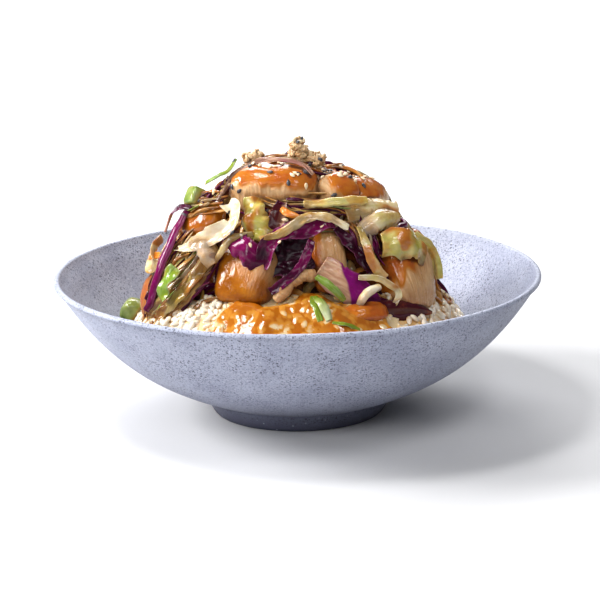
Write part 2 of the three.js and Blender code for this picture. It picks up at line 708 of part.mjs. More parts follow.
const fitted = [];
for (const { piece, form, kind } of inOrder) {
  let solid = form(piece);
  const cutters = [bowlEnvelope, riceEnvelope, heapEnvelope, ...fitted.map((other) => other.envelope)];
  for (const cutter of cutters) if (boxesMeet(solid, cutter)) solid = solid.subtract(cutter);
  const whole = thinned(solid, [riceCore, heapCore, ...fitted.map((other) => other.solid)]);
  const place = placeOf(piece, piece.at ?? piece.route[0]).point;
  fitted.push({ piece, kind, solid: whole, envelope: form(piece, GAP), place });
}

// Whether a solid keeps a gap to another, and isn't inside it
function keepsClearOf(solid, other) {
  if (!boxesMeet(solid, other)) return true;
  return solid.intersect(other).isEmpty() && solid.minGap(other, GAP) >= GAP;
}

// Whether a solid keeps clear of every fitted piece but the one it is fused to
function isClear(solid, own) {
  return fitted.every((other) => other === own || keepsClearOf(solid, other.solid));
}

// Sesame seeds, each lying on its piece and sunk a little into it
function seedsOn(entry) {
  const { piece, solid } = entry;
  const { point, around, upward, out } = placeOf(piece, piece.at);
  const draw = dice(100 + piece.seed);
  const seeds = [];
  for (let tries = 0; tries < SEED_TRIES && seeds.length < piece.seeds; tries++) {
    const direction = out.clone().addScaledVector(around, SEED_SIDEWAYS * (2 * draw() - 1));
    direction.addScaledVector(upward, THREE.MathUtils.lerp(SEED_LOWEST, SEED_HIGHEST, draw())).normalize();
    const outside = point.clone().addScaledVector(direction, HEAP_HALF_WIDTH);
    const [hit] = solid.rayCast([...outside], [...point]);
    if (!hit) continue;
    const spot = new THREE.Vector3(...hit.position).addScaledVector(direction, SEED_WIDTH * 0.1);
    const askew = new THREE.Vector3(draw() - 0.5, draw() - 0.5, 0.4);
    const along = askew.crossVectors(direction, askew).normalize();
    const seed = grain(spot, along, SEED_LENGTH, SEED_WIDTH, THREE.OctahedronGeometry);
    if (isClear(seed, entry)) seeds.push(seed);
  }
  return seeds;
}

for (const entry of fitted.filter(({ piece }) => piece.seeds)) {
  entry.solid = largestBody(wasm.Manifold.union([entry.solid, ...seedsOn(entry)]));
}

// The heap: its core with the shreds that show between the larger pieces
function makeHeap() {
  const draw = dice(41);
  const shreds = [];
  for (let i = 0; i < SHRED_COUNT; i++) {
    const bearing = 180 + SHRED_SPREAD * (((i * GOLDEN_SHARE) % 1) - 0.5);
    const latitude = 12 + (50 * i) / SHRED_COUNT;
    const swing = 26 * (draw() - 0.5);
    const drop = 8 + 8 * draw();
    const route = [
      [bearing, latitude + drop, HEAP_CORE_LIFT],
      [bearing + swing / 2, latitude + drop / 2, HEAP_CORE_LIFT + SHRED_HUMP],
      [bearing + swing, latitude, HEAP_CORE_LIFT + 1],
    ];
    const width = (i % 3 === 0 ? 12 : 4) + 5 * draw();
    const across = width > 10 ? 2 : 1;
    const shred = strip({ route, width, thick: SHRED_THICKNESS, steps: 4, across, cup: -1 });
    if (keepsClearOf(shred, bowl) && isClear(shred)) shreds.push(shred.subtract(riceEnvelope));
  }
  return largestBody(wasm.Manifold.union([heapCore, ...shreds]));
}

// The bed of rice: its core with the grains that show, set evenly round by the golden angle
function makeRice(heap) {
  const draw = dice(17);
  const grains = [];
  for (let i = 0; i < GRAIN_COUNT * 3 && grains.length < GRAIN_COUNT; i++) {
    const radius = Math.sqrt(THREE.MathUtils.lerp(GRAIN_INNER_RADIUS ** 2, RICE_RADIUS ** 2, draw()));
    const place = onRice([360 * i * GOLDEN_SHARE, radius, GAP]);
    const along = place.around.multiplyScalar(draw() - 0.5).addScaledVector(place.upward, draw() - 0.5);
    along.addScaledVector(place.out, 0.5 * (draw() - 0.5)).normalize();
    const one = grain(place.point, along, GRAIN_LENGTH * (0.9 + 0.2 * draw()), GRAIN_WIDTH);
    if (keepsClearOf(one, bowl) && keepsClearOf(one, heap) && isClear(one)) grains.push(one);
  }
  return largestBody(wasm.Manifold.union([riceCore, ...grains]));
}

const heap = makeHeap();
const rice = makeRice(heap);

function meshOf(name, solid, kind, place = new THREE.Vector3()) {
  const mesh = new THREE.Mesh(geometryOf(solid, place), materials[kind]);
  mesh.name = name;
  mesh.position.copy(place);
  return mesh;
}

const donburi = new THREE.Group();
const toppings = new THREE.Group();
donburi.add(meshOf("bowl", bowl, "bowl"));
donburi.add(meshOf("rice", rice, "rice"));
donburi.add(meshOf("vegetable_heap", heap, "heap"));
for (const { piece, solid, kind, place } of fitted) toppings.add(meshOf(piece.name, solid, kind, place));
donburi.add(toppings);

export default donburi;
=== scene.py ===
"""A wide bowl of chicken teriyaki donburi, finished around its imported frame.

The stoneware bowl, the bed of rice, the heap of vegetables and each piece on it stand where the
frame's nodes stand and keep their form. Sizes are in metres, +Z is up and the diner sits at -Y.
"""

import logging
import math
from copy import copy
from dataclasses import dataclass, field
from enum import Enum
from functools import cache
from itertools import product
from typing import Any, Callable, Protocol, Sequence

import bpy
import numpy as np
from mathutils import Matrix, Vector


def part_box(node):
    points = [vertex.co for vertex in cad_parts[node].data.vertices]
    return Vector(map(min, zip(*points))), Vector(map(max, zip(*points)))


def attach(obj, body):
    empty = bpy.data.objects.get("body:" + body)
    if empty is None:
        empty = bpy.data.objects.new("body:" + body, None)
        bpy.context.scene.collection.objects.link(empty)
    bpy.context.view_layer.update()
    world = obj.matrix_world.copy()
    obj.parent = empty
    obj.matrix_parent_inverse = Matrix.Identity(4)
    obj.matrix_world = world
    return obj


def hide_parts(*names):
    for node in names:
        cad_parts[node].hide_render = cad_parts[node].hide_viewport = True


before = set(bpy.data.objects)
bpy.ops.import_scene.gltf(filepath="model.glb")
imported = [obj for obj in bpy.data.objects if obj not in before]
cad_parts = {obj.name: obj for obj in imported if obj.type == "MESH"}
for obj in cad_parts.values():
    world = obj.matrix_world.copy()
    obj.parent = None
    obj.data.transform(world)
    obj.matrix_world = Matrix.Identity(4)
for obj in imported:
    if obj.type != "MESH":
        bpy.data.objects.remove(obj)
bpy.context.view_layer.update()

log = logging.getLogger("donburi")

MM = 0.001
ROOT = "root"
RUN = "run"  # the attribute that holds a piece's own coordinates
GOLDEN_TURN = 0.618034 * 360  # degrees of bearing that spread things evenly
LEAF_WIDTH = 8  # mm, above which a strip is a leaf and gets more cells
LEAF_CELLS = (52, 16)
SHRED_CELLS = (40, 7)
FINE_CELLS = (9, 2)

Points = np.ndarray
Colour = tuple[float, float, float]
Triple = tuple[float, float, float]
Radius = Points | float


def unit(vectors: Points) -> Points:
    """Vectors at length 1."""
    return vectors / np.maximum(np.linalg.norm(vectors, axis=-1, keepdims=True), 1e-12)


def smooth(low: float, high: float, value: Points) -> Points:
    """A smooth step from 0 to 1.

    Args:
        low: The value up to which the step is 0.
        high: The value from which the step is 1.
        value: The values to step.

    Returns:
        The step at each value.
    """
    share = np.clip((value - low) / (high - low), 0, 1)
    return share * share * (3 - 2 * share)


def noise(points: Points, size: float, seed: int = 0) -> Points:
    """Smooth unevenness from -1 to 1, blended between seeded values on a lattice.

    Args:
        points: Where it is wanted, as rows of X, Y and Z.
        size: The lattice's step, about half the width of a bump.
        seed: Another number gives another unevenness.

    Returns:
        One value for each point.
    """
    place = points / size + 31.7 * (seed + 1)
    cell = np.floor(place).astype(np.int64)
    part = place - cell
    blend = part * part * (3 - 2 * part)
    total = np.zeros(len(points))
    for corner in product((0, 1), repeat=3):
        at = cell + corner
        mixed = (at[:, 0] * 73856093) ^ (at[:, 1] * 19349663) ^ (at[:, 2] * 83492791)
        mixed = ((mixed ^ (mixed >> 13)) * 1274126177) & 0x7FFFFFFF
        value = ((mixed ^ (mixed >> 16)) & 0xFFFF) / 65535
        total += value * np.prod(np.where(corner, blend, 1 - blend), axis=1)
    return 2 * total - 1


def layered(points: Points, size: float, seed: int = 0, layers: int = 3) -> Points:
    """Unevenness with finer unevenness on it, from about -1 to 1."""
    return sum(noise(points, size / 2**i, seed + 7 * i) / 2**i for i in range(layers)) / 1.6


def turned(way: Points, axis: Points, angle: Points) -> Points:
    """Vectors turned about axes at right angles to them, by angles in radians."""
    return way * np.cos(angle)[:, None] + np.cross(axis, way) * np.sin(angle)[:, None]


def curve(knots: Points, share: Points) -> Points:
    """Points on a smooth curve through its knots.

    Args:
        knots: The points that the curve passes, in order.
        share: How far along the curve each wanted point is, from 0 to 1.

    Returns:
        The wanted points.
    """
    legs = len(knots) - 1
    leg = np.minimum((share * legs).astype(int), legs - 1)
    t = (share * legs - leg)[:, None]
    padded = np.vstack([2 * knots[0] - knots[1], knots, 2 * knots[-1] - knots[-2]])
    before, start, end, after = (padded[leg + i] for i in range(4))
    leave, arrive = 0.5 * (end - before), 0.5 * (after - start)
    t2, t3 = t * t, t * t * t
    ends = (2 * t3 - 3 * t2 + 1) * start + (3 * t2 - 2 * t3) * end
    return ends + (t3 - 2 * t2 + t) * leave + (t3 - t2) * arrive


@dataclass(frozen=True)
class Place:
    """Places on the food, with the ways round it, up it and out of it."""

    point: Points
    around: Points
    upward: Points
    out: Points


@dataclass(frozen=True)
class HeapForm:
    """The heap's outside: an oval seen from above, and from the side a tall dome.

    Bearing 0 faces the diner and 90 is to the right. Latitude runs from 0 at the heap's base to
    90 at its top. Both are in degrees.
    """

    half_width: float = 78 * MM
    half_depth: float = 54 * MM
    base: float = 50 * MM
    rise: float = 82 * MM
    power: float = 1.48
    step: float = 0.5

    def point(self, bearing: Points, latitude: Points) -> Points:
        """Points of the outside.

        Args:
            bearing: Their bearings.
            latitude: Their latitudes.

        Returns:
            The points as rows.
        """
        side, up = np.radians(bearing), np.radians(latitude)
        height = np.sign(up) * np.abs(np.sin(up)) ** self.power
        x = self.half_width * np.cos(up) * np.sin(side)
        y = -self.half_depth * np.cos(up) * np.cos(side)
        return np.stack([x, y, self.base + self.rise * height], axis=-1)

    def place(self, bearing: Points, latitude: Points, lift: Points) -> Place:
        """Places over the outside.

        Args:
            bearing: Their bearings.
            latitude: Their latitudes.
            lift: How far outwards they are.

        Returns:
            The places, with their ways.
        """
        bearing, latitude, lift = np.broadcast_arrays(*map(np.asarray, (bearing, latitude, lift)))
        step = self.step
        around = unit(self.point(bearing + step, latitude) - self.point(bearing - step, latitude))
        upward = unit(self.point(bearing, latitude + step) - self.point(bearing, latitude - step))
        out = unit(np.cross(around, upward))
        point = self.point(bearing, latitude) + out * lift[..., None]
        return Place(point, around, np.cross(out, around), out)


@dataclass(frozen=True)
class RiceForm:
    """The bare rice's uneven dome, by bearing in degrees and distance from the bowl's axis."""

    radius: float = 87 * MM
    edge: float = 35 * MM
    rise: float = 36 * MM
    power: float = 4.5
    wave: float = 0.9 * MM

    def top(self, x: Points, y: Points) -> Points:
        """The bare rice's height at places.

        Args:
            x: The places' X.
            y: The places' Y.

        Returns:
            The height at each.
        """
        share = np.hypot(x, y) / self.radius
        wave = np.sin(x / MM * 0.21 + 1) * np.cos(y / MM * 0.24) + np.sin((x + y) / MM * 0.11)
        return self.edge + self.rise * (1 - share**self.power) + self.wave * wave

    def place(self, bearing: Points, radius: Points, lift: Points) -> Place:
        """Places over the rice.

        Args:
            bearing: Their bearings.
            radius: Their distances from the bowl's axis.
            lift: How far outwards they are.

        Returns:
            The places, with their ways.
        """
        bearing, radius, lift = np.broadcast_arrays(*map(np.asarray, (bearing, radius, lift)))
        side = np.radians(bearing)
        x, y = radius * np.sin(side), -radius * np.cos(side)
        slope = -self.rise * self.power * (radius / self.radius) ** (self.power - 1) / self.radius
        outward = np.stack([np.sin(side), -np.cos(side), np.zeros_like(side)], axis=-1)
        out = unit(outward * -slope[..., None] + np.array([0, 0, 1.0]))
        around = np.stack([np.cos(side), np.sin(side), np.zeros_like(side)], axis=-1)
        point = np.stack([x, y, self.top(x, y)], axis=-1) + out * lift[..., None]
        return Place(point, around, np.cross(out, around), out)


HEAP = HeapForm()
RICE = RiceForm()


class Bed(Enum):
    """What a piece lies on."""

    HEAP = "heap"
    RICE = "rice"

    def place(self, where: Sequence[float]) -> Place:
        """A place on the bed.

        Args:
            where: Its bearing, its latitude on the heap or radius on the rice, and its lift in mm.

        Returns:
            The place.
        """
        first, second, lift = where
        if self is Bed.RICE:
            return RICE.place(first, second * MM, lift * MM)
        return HEAP.place(first, second, lift * MM)


class Value:
    """A number in a finish's graph, on which Python's operators add Math nodes."""

    def __init__(self, graph: "Graph", socket: bpy.types.NodeSocket) -> None:
        """Wraps a socket of a graph."""
        self.graph = graph
        self.socket = socket

    def __add__(self, other: "Number") -> "Value":
        """Their sum."""
        return self.graph.math("ADD", self, other)

    def __sub__(self, other: "Number") -> "Value":
        """Their difference."""
        return self.graph.math("SUBTRACT", self, other)

    def __rsub__(self, other: "Number") -> "Value":
        """Their difference, the other way round."""
        return self.graph.math("SUBTRACT", other, self)

    def __mul__(self, other: "Number") -> "Value":
        """Their product."""
        return self.graph.math("MULTIPLY", self, other)

    def __pow__(self, other: "Number") -> "Value":
        """This number to the power of the other."""
        return self.graph.math("POWER", self, other)

    __radd__ = __add__
    __rmul__ = __mul__

    def step(self, low: float, high: float) -> "Value":
        """A smooth step, upwards or downwards.

        Args:
            low: Where it is 0.
            high: Where it is 1, which may be the smaller.

        Returns:
            The step of this number.
        """
        ends = (low, high, 0, 1) if low < high else (high, low, 1, 0)
        names = ("From Min", "From Max", "To Min", "To Max")
        inputs = dict(zip(names, ends)) | {"Value": self}
        return self.graph.value("MapRange", "Result", {"interpolation_type": "SMOOTHSTEP"}, inputs)


Number = Value | float


class Graph:
    """A finish's node graph, read on Object coordinates and the piece's own attributes."""

    def __init__(self, name: str) -> None:
        """Starts an empty material of that name.

        Args:
            name: Its name.
        """
        self.material = bpy.data.materials.new(name)
        self.material.use_nodes = True
        self.tree = self.material.node_tree
        self.tree.nodes.clear()
        self.at = self.value("TexCoord", "Object")

    def node(self, kind: str, settings: dict[str, Any], inputs: dict[Any, Any]) -> bpy.types.Node:
        """Adds a node.

        Args:
            kind: The node's type, without ShaderNode.
            settings: Its settings by name, set first.
            inputs: Values or links of its sockets, by name or number.

        Returns:
            The node.
        """
        node = self.tree.nodes.new("ShaderNode" + kind)
        for name, setting in settings.items():
            setattr(node, name, setting)
        for name, value in inputs.items():
            if isinstance(value, Value):
                self.tree.links.new(value.socket, node.inputs[name])
            else:
                node.inputs[name].default_value = value
        return node

    def value(self, kind: str, output: Any, settings: dict[str, Any] | None = None,
              inputs: dict[Any, Any] | None = None) -> Value:
        """Adds a node and gives one of its outputs.

        Args:
            kind: The node's type, without ShaderNode.
            output: The output's name or number.
            settings: The node's settings.
            inputs: The node's inputs.

        Returns:
            The output.
        """
        return Value(self, self.node(kind, settings or {}, inputs or {}).outputs[output])

    def math(self, operation: str, first: Number, second: Number) -> Value:
        """A Math node on two numbers."""
        return self.value("Math", 0, {"operation": operation}, {0: first, 1: second})

    def painted(self, name: str) -> Value:
        """A number that is painted on the piece."""
        return self.value("Attribute", "Fac", {"attribute_name": name})

    def cloud(self, scale: float, at: Value | None = None, detail: float = 3) -> Value:
        """Soft noise from about 0.2 to 0.8, whose bumps are 1/scale metres apart."""
        inputs = {"Vector": at or self.at, "Scale": scale, "Detail": detail}
        return self.value("TexNoise", "Fac", {}, inputs)

    def fibre(self, scale: Triple) -> Value:
        """Soft noise drawn out along the piece.

        Args:
            scale: Bumps to the metre along the piece's length, width and thickness.

        Returns:
            The noise, from about 0.2 to 0.8.
        """
        run = self.value("Attribute", "Vector", {"attribute_name": RUN})
        at = self.value("Mapping", "Vector", {}, {"Vector": run, "Scale": scale})
        return self.cloud(1, at, 2)

    def specks(self, scale: float, radius: float, share: float) -> Value:
        """Round specks, one in a share of the cells of a lattice.

        Args:
            scale: Cells to the metre.
            radius: A speck's radius, as a share of its cell.
            share: The share of cells that have one.

        Returns:
            1 in the specks and 0 between them.
        """
        cells = self.node("TexVoronoi", {}, {"Vector": self.at, "Scale": scale})
        chosen = self.value("SeparateColor", 0, {}, {0: Value(self, cells.outputs["Color"])})
        near = Value(self, cells.outputs["Distance"]).step(radius, radius * 0.55)
        return near * chosen.step(1 - share, 1 - share + 0.02)

    def mix(self, factor: Number, first: "Value | Colour", second: "Value | Colour") -> Value:
        """Two colours mixed.

        Args:
            factor: The share of the second.
            first: The first colour.
            second: The second colour.

        Returns:
            The mixed colour.
        """
        ends = [end if isinstance(end, Value) else (*end, 1) for end in (first, second)]
        settings = {"data_type": "RGBA", "clamp_factor": True}
        return self.value("Mix", 2, settings, {0: factor, 6: ends[0], 7: ends[1]})

    def finish(self, colour: Value, roughness: Number, height: Value | None = None,
               depth: float = 0.3 * MM, **constants: Any) -> bpy.types.Material:
        """Ends the graph in a shader.

        Args:
            colour: The surface's colour.
            roughness: Its roughness.
            height: Its fine relief, from 0 to 1.
            depth: How deep that relief is, in metres.
            **constants: The shader's other sockets by name, with _ for a space.

        Returns:
            The material.
        """
        inputs = {"Base Color": colour, "Roughness": roughness}
        inputs |= {name.replace("_", " "): value for name, value in constants.items()}
        if height is not None:
            relief = {"Height": height, "Distance": depth, "Strength": 1.0}
            inputs["Normal"] = self.value("Bump", "Normal", {}, relief)
        shader = self.node("BsdfPrincipled", {"subsurface_method": "RANDOM_WALK"}, inputs)
        out = self.node("OutputMaterial", {}, {})
        self.tree.links.new(shader.outputs[0], out.inputs["Surface"])
        return self.material


class Finish(Protocol):
    """What a piece is finished in."""

    def material(self) -> bpy.types.Material:
        """The finish as a material."""


class Slot(Enum):
    """The record's material slots."""

    STONEWARE = "stoneware"
    COOKED_RICE = "cooked_rice"
    GLAZED_CHICKEN = "glazed_chicken"
    RED_CABBAGE = "red_cabbage"
    PALE_CABBAGE = "pale_cabbage"
    GREEN_ONION = "green_onion"
    CARROT = "carrot"
    STIR_FRY = "stir_fry"
    CRISP_CRUMBS = "crisp_crumbs"


@dataclass(frozen=True)
class Amber:
    """The amber glaze, paler where it is thin, and dark brown between pieces as sauce that pools
    and painted shade.
    """

    thin: Colour = (0.48, 0.150, 0.005)
    thick: Colour = (0.36, 0.066, 0.001)
    # Dark brown of the sauce that pools between pieces, and painted shade there.
    pooled_sauce_and_shade: Colour = (0.10, 0.014, 0.001)

    def over(self, graph: Graph, under: Value, glaze: Value, share: float = 0.94,
             pool_and_shade: float = 0.85) -> Value:
        """The colour of a surface under the glaze, and between pieces under sauce that pools there
        and painted shade.

        Args:
            graph: The finish's graph.
            under: The surface's own colour.
            glaze: How thick the glaze is, from 0 to 1.
            share: How much of the surface's colour the glaze hides.
            pool_and_shade: How much of it the sauce that pools between pieces and the painted shade
                there hide.

        Returns:
            The colour through the glaze.
        """
        spread = graph.cloud(150).step(0.35, 0.65)
        # The crowding painted on the piece: sauce that pools between pieces, and painted shade.
        pool = graph.painted("pool")
        film = graph.mix(glaze.step(0.45, 1.0) * (0.3 + 0.7 * spread), self.thin, self.thick)
        film = graph.mix(pool.step(0.25, 0.9), film, self.pooled_sauce_and_shade)
        cover = graph.math("MAXIMUM", glaze.step(0.02, 0.8) * share, pool.step(0.1, 0.7) * pool_and_shade)
        return graph.mix(cover, under, film)


AMBER = Amber()


@dataclass(frozen=True)
class Stoneware:
    """Matte speckled stoneware, pale blue-grey, with painted shade that darkens it towards the
    foot.

    The painted shade fades out upwards through the first pair of heights, and a painted highlight
    comes in on the lip through the second.
    """

    # Heights through which the painted shade at the foot fades out.
    foot_shade_heights: tuple[float, float] = (1 * MM, 40 * MM)
    # Heights through which the painted highlight on the lip comes in.
    lip_highlight_heights: tuple[float, float] = (67.8 * MM, 69.8 * MM)
    body: Colour = (0.307, 0.330, 0.433)
    mottle: Colour = (0.370, 0.393, 0.498)
    # The painted shade at the foot.
    foot: Colour = (0.048, 0.050, 0.090)
    speck: Colour = (0.055, 0.058, 0.085)
    fleck: Colour = (0.80, 0.83, 0.92)
    # The painted highlight on the lip.
    lip: Colour = (0.44, 0.465, 0.56)

    def material(self) -> bpy.types.Material:
        """The finish as a material.

        Returns:
            Its material.
        """
        graph = Graph("stoneware")
        height = graph.value("SeparateXYZ", "Z", {}, {0: graph.at})
        base = graph.mix(graph.cloud(45).step(0.35, 0.65), self.body, self.mottle)
        # Painted shade, darker towards the foot.
        base = graph.mix(height.step(*self.foot_shade_heights) ** 0.5, self.foot, base)
        # Painted highlight along the lip.
        base = graph.mix(height.step(*self.lip_highlight_heights) * 0.25, base, self.lip)
        strewn = graph.cloud(60).step(0.35, 0.65)
        small = graph.specks(1150, radius=0.50, share=0.65)
        large = graph.specks(540, radius=0.36, share=0.42)
        pale = graph.specks(640, radius=0.34, share=0.12)
        grain = graph.cloud(850, detail=3)
        base = graph.mix(small * (0.38 + 0.38 * strewn), base, self.speck)
        base = graph.mix(large * (0.52 + 0.36 * strewn), base, self.speck)
        base = graph.mix(pale * 0.3, base, self.fleck)
        base = graph.mix(grain.step(0.46, 0.72) * 0.3, base, self.speck)
        relief = 0.6 * grain - 0.5 * large - 0.3 * small + 0.6
        return graph.finish(base, 0.52, relief, 0.16 * MM, Specular_IOR_Level=0.42)


@dataclass(frozen=True)
class CookedRice:
    """Moist white rice, stained where the sauce has run, with pooling sauce and painted shade
    between pieces.
    """

    grain: Colour = (0.64, 0.53, 0.38)
    core: Colour = (0.80, 0.73, 0.61)
    stain: Colour = (0.78, 0.42, 0.09)

    def material(self) -> bpy.types.Material:
        """The finish as a material.

        Returns:
            Its material.
        """
        graph = Graph("cooked_rice")
        base = graph.mix(graph.cloud(180).step(0.3, 0.7), self.grain, self.core)
        stain = graph.painted("glaze") * graph.cloud(260).step(0.25, 0.6)
        base = graph.mix(stain, base, self.stain)
        # Between pieces: sauce that pools there, and painted shade, in the stain's colour.
        base = graph.mix(graph.painted("pool").step(0.3, 1.0) * 0.75, base, self.stain)
        return graph.finish(
            base, 0.30, graph.cloud(900), 0.12 * MM, Coat_Weight=0.35, Coat_Roughness=0.1,
            Specular_IOR_Level=0.3, Subsurface_Weight=0.35, Subsurface_Scale=1.2 * MM,
            Subsurface_Radius=(1.0, 0.75, 0.5),
        )


@dataclass(frozen=True)
class GlazedChicken:
    """Pale fibrous chicken, browned at its edges and glazed, with painted shade and sheen on its
    fibres.
    """

    pale: Colour = (0.58, 0.345, 0.160)
    warm: Colour = (0.20, 0.052, 0.003)
    golden: Colour = (0.37, 0.125, 0.008)
    # Fibre grain colour, also the painted shade in the fibres' grooves.
    groove_grain_and_shade: Colour = (0.24, 0.085, 0.014)
    # Paler flesh, also the painted sheen on the fibres' ridges.
    pale_flesh_and_sheen: Colour = (0.68, 0.47, 0.26)
    seared: Colour = (0.16, 0.034, 0.004)

    def material(self) -> bpy.types.Material:
        """The finish as a material.

        Returns:
            Its material.
        """
        graph = Graph("glazed_chicken")
        fibre = graph.fibre((950, 110, 160))
        streak = graph.fibre((340, 55, 80))
        glaze, tone = graph.painted("glaze"), graph.painted("tone")
        brown = graph.mix(graph.cloud(90).step(0.35, 0.65), self.warm, self.golden)
        base = graph.mix(tone, self.pale, brown)
        flesh = graph.cloud(170).step(0.3, 0.7)
        # Darker streaks along the fibres' grain.
        base = graph.mix(streak.step(0.52, 0.36) * 0.25, base, self.groove_grain_and_shade)
        # Painted shade in the grooves of the fibres' relief.
        base = graph.mix(fibre.step(0.5, 0.34) * 0.18, base, self.groove_grain_and_shade)
        # Painted sheen on the fibres' ridges.
        base = graph.mix(fibre.step(0.5, 0.66) * 0.35 * (1 - tone), base, self.pale_flesh_and_sheen)
        # Paler flesh in patches.
        base = graph.mix(flesh * 0.3 * (1 - tone), base, self.pale_flesh_and_sheen)
        base = graph.mix(graph.painted("edge") * 0.85, base, self.seared)
        base = AMBER.over(graph, base, glaze, 0.94, 0.55)
        base = graph.mix(tone.step(0.5, 0.95) * 0.85, base, brown)
        rough = graph.cloud(420).step(0.3, 0.7) * 0.12 + 0.17 - 0.11 * glaze.step(0.1, 0.6)
        relief = 0.8 * fibre * (1 - glaze.step(0.2, 0.7)) + 0.5 * graph.cloud(300, detail=2)
        relief += 0.35 * graph.cloud(800, detail=2)
        return graph.finish(
            base, rough, relief, 0.5 * MM, Coat_Weight=glaze * 0.25 + 0.05, Coat_Roughness=0.04,
            Specular_IOR_Level=0.22, Subsurface_Weight=0.15, Subsurface_Scale=1.2 * MM,
            Subsurface_Radius=(1.0, 0.4, 0.15),
        )


@dataclass(frozen=True)
class RedCabbage:
    """Wet purple leaf with pale flesh, ribs and cut edges."""

    # Near black: the leaf's dark skin, and painted shade in the hollow and between pieces.
    dark: Colour = (0.016, 0.001, 0.006)
    skin: Colour = (0.145, 0.003, 0.056)
    vivid: Colour = (0.19, 0.004, 0.125)
    flesh: Colour = (0.46, 0.235, 0.14)
    cream: Colour = (0.56, 0.34, 0.20)
    rim: Colour = (0.34, 0.10, 0.19)

    def material(self) -> bpy.types.Material:
        """The finish as a material.

        Returns:
            Its material.
        """
        graph = Graph("red_cabbage")
        vein = graph.fibre((160, 700, 160))
        depth = graph.painted("deep")
        deep = depth + 0.9 * (graph.cloud(150) - 0.5)
        # Deep pieces go dark; for the hollow this is painted shade.
        skin = graph.mix(deep.step(0.15, 0.6), self.skin, self.dark)
        skin = graph.mix(deep.step(0.1, -0.15), skin, self.vivid)
        flesh = graph.mix(vein.step(0.35, 0.68), self.flesh, self.cream)
        base = graph.mix(graph.painted("tone").step(0.15, 0.65), flesh, skin)
        base = graph.mix(vein.step(0.60, 0.72) * 0.15, base, self.rim)
        base = graph.mix(graph.painted("edge") * 0.6, base, self.rim)
        base = AMBER.over(graph, base, graph.painted("glaze"), 0.8, 0)
        # Painted shade between pieces, with the sauce that pools there.
        base = graph.mix(graph.painted("pool").step(0.2, 0.9) * 0.7, base, self.dark)
        relief = 0.5 * vein + 0.7 * graph.cloud(420, detail=2)
        return graph.finish(
            base, depth * 0.1 + 0.13, relief, 0.38 * MM, Coat_Weight=0.25 - 0.2 * depth,
            Coat_Roughness=0.03, Specular_IOR_Level=0.12, Subsurface_Weight=0.06,
            Subsurface_Scale=0.8 * MM, Subsurface_Radius=(1.0, 0.3, 0.7),
        )


@dataclass(frozen=True)
class PaleCabbage:
    """Wet cream and yellow-green leaf with fine veins."""

    name: str = "pale_cabbage"
    cream: Colour = (0.70, 0.52, 0.25)
    white: Colour = (0.80, 0.70, 0.52)
    green: Colour = (0.32, 0.29, 0.035)
    light_green: Colour = (0.50, 0.43, 0.09)
    juice: Colour = (0.50, 0.21, 0.018)

    def material(self) -> bpy.types.Material:
        """The finish as a material.

        Returns:
            Its material.
        """
        graph = Graph(self.name)
        vein = graph.fibre((110, 650, 110))
        light = graph.mix(graph.cloud(150).step(0.3, 0.6), self.cream, self.white)
        green = graph.mix(graph.cloud(190).step(0.35, 0.65), self.green, self.light_green)
        tone = graph.painted("tone")
        base = graph.mix(tone, light, green)
        base = graph.mix(vein.step(0.5, 0.34) * (0.2 + 0.3 * tone), base, self.light_green)
        base = graph.mix(graph.cloud(110).step(0.47, 0.6) * (0.2 + 0.4 * tone), base, self.juice)
        base = graph.mix(graph.painted("edge") * 0.25, base, self.white)
        base = AMBER.over(graph, base, graph.painted("glaze"), 0.8, 0.6)
        relief = 0.5 * vein + 0.5 * graph.cloud(420, detail=2)
        return graph.finish(
            base, 0.14, relief, 0.5 * MM, Coat_Weight=0.3, Coat_Roughness=0.04,
            Specular_IOR_Level=0.3, Subsurface_Weight=0.2, Subsurface_Scale=1.2 * MM,
            Subsurface_Radius=(1.0, 0.8, 0.3),
        )


GREEN_STEM = PaleCabbage(
    "green_stem", green=(0.10, 0.17, 0.022), light_green=(0.24, 0.32, 0.07),
    juice=(0.20, 0.25, 0.05))


@dataclass(frozen=True)
class GreenOnion:
    """Wet bright green leaf with long veins, nearly white at its bulb end."""

    green: Colour = (0.17, 0.265, 0.016)
    deep: Colour = (0.08, 0.17, 0.015)
    white: Colour = (0.76, 0.80, 0.52)

    def material(self) -> bpy.types.Material:
        """The finish as a material.

        Returns:
            Its material.
        """
        graph = Graph("green_onion")
        vein = graph.fibre((90, 1100, 90))
        base = graph.mix(graph.painted("tone"), self.white, self.green)
        base = graph.mix(vein.step(0.5, 0.32) * 0.7 * graph.painted("tone"), base, self.deep)
        base = graph.mix(graph.painted("edge") * 0.4, base, self.white)
        base = AMBER.over(graph, base, graph.painted("glaze"), 0.5, 0.2)
        return graph.finish(
            base, 0.24, vein, 0.3 * MM, Coat_Weight=0.45, Coat_Roughness=0.05,
            Specular_IOR_Level=0.2, Subsurface_Weight=0.2, Subsurface_Scale=1.2 * MM,
            Subsurface_Radius=(0.7, 1.0, 0.3),
        )


@dataclass(frozen=True)
class Carrot:
    """Wet orange root, cut in shreds."""

    flesh: Colour = (0.66, 0.17, 0.010)
    pale: Colour = (0.76, 0.30, 0.04)

    def material(self) -> bpy.types.Material:
        """The finish as a material.

        Returns:
            Its material.
        """
        graph = Graph("carrot")
        line = graph.fibre((150, 900, 150))
        base = graph.mix(line.step(0.4, 0.66), self.flesh, self.pale)
        return graph.finish(base, 0.25, line, 0.25 * MM, Coat_Weight=0.5, Subsurface_Weight=0.2,
                            Subsurface_Scale=1.5 * MM)


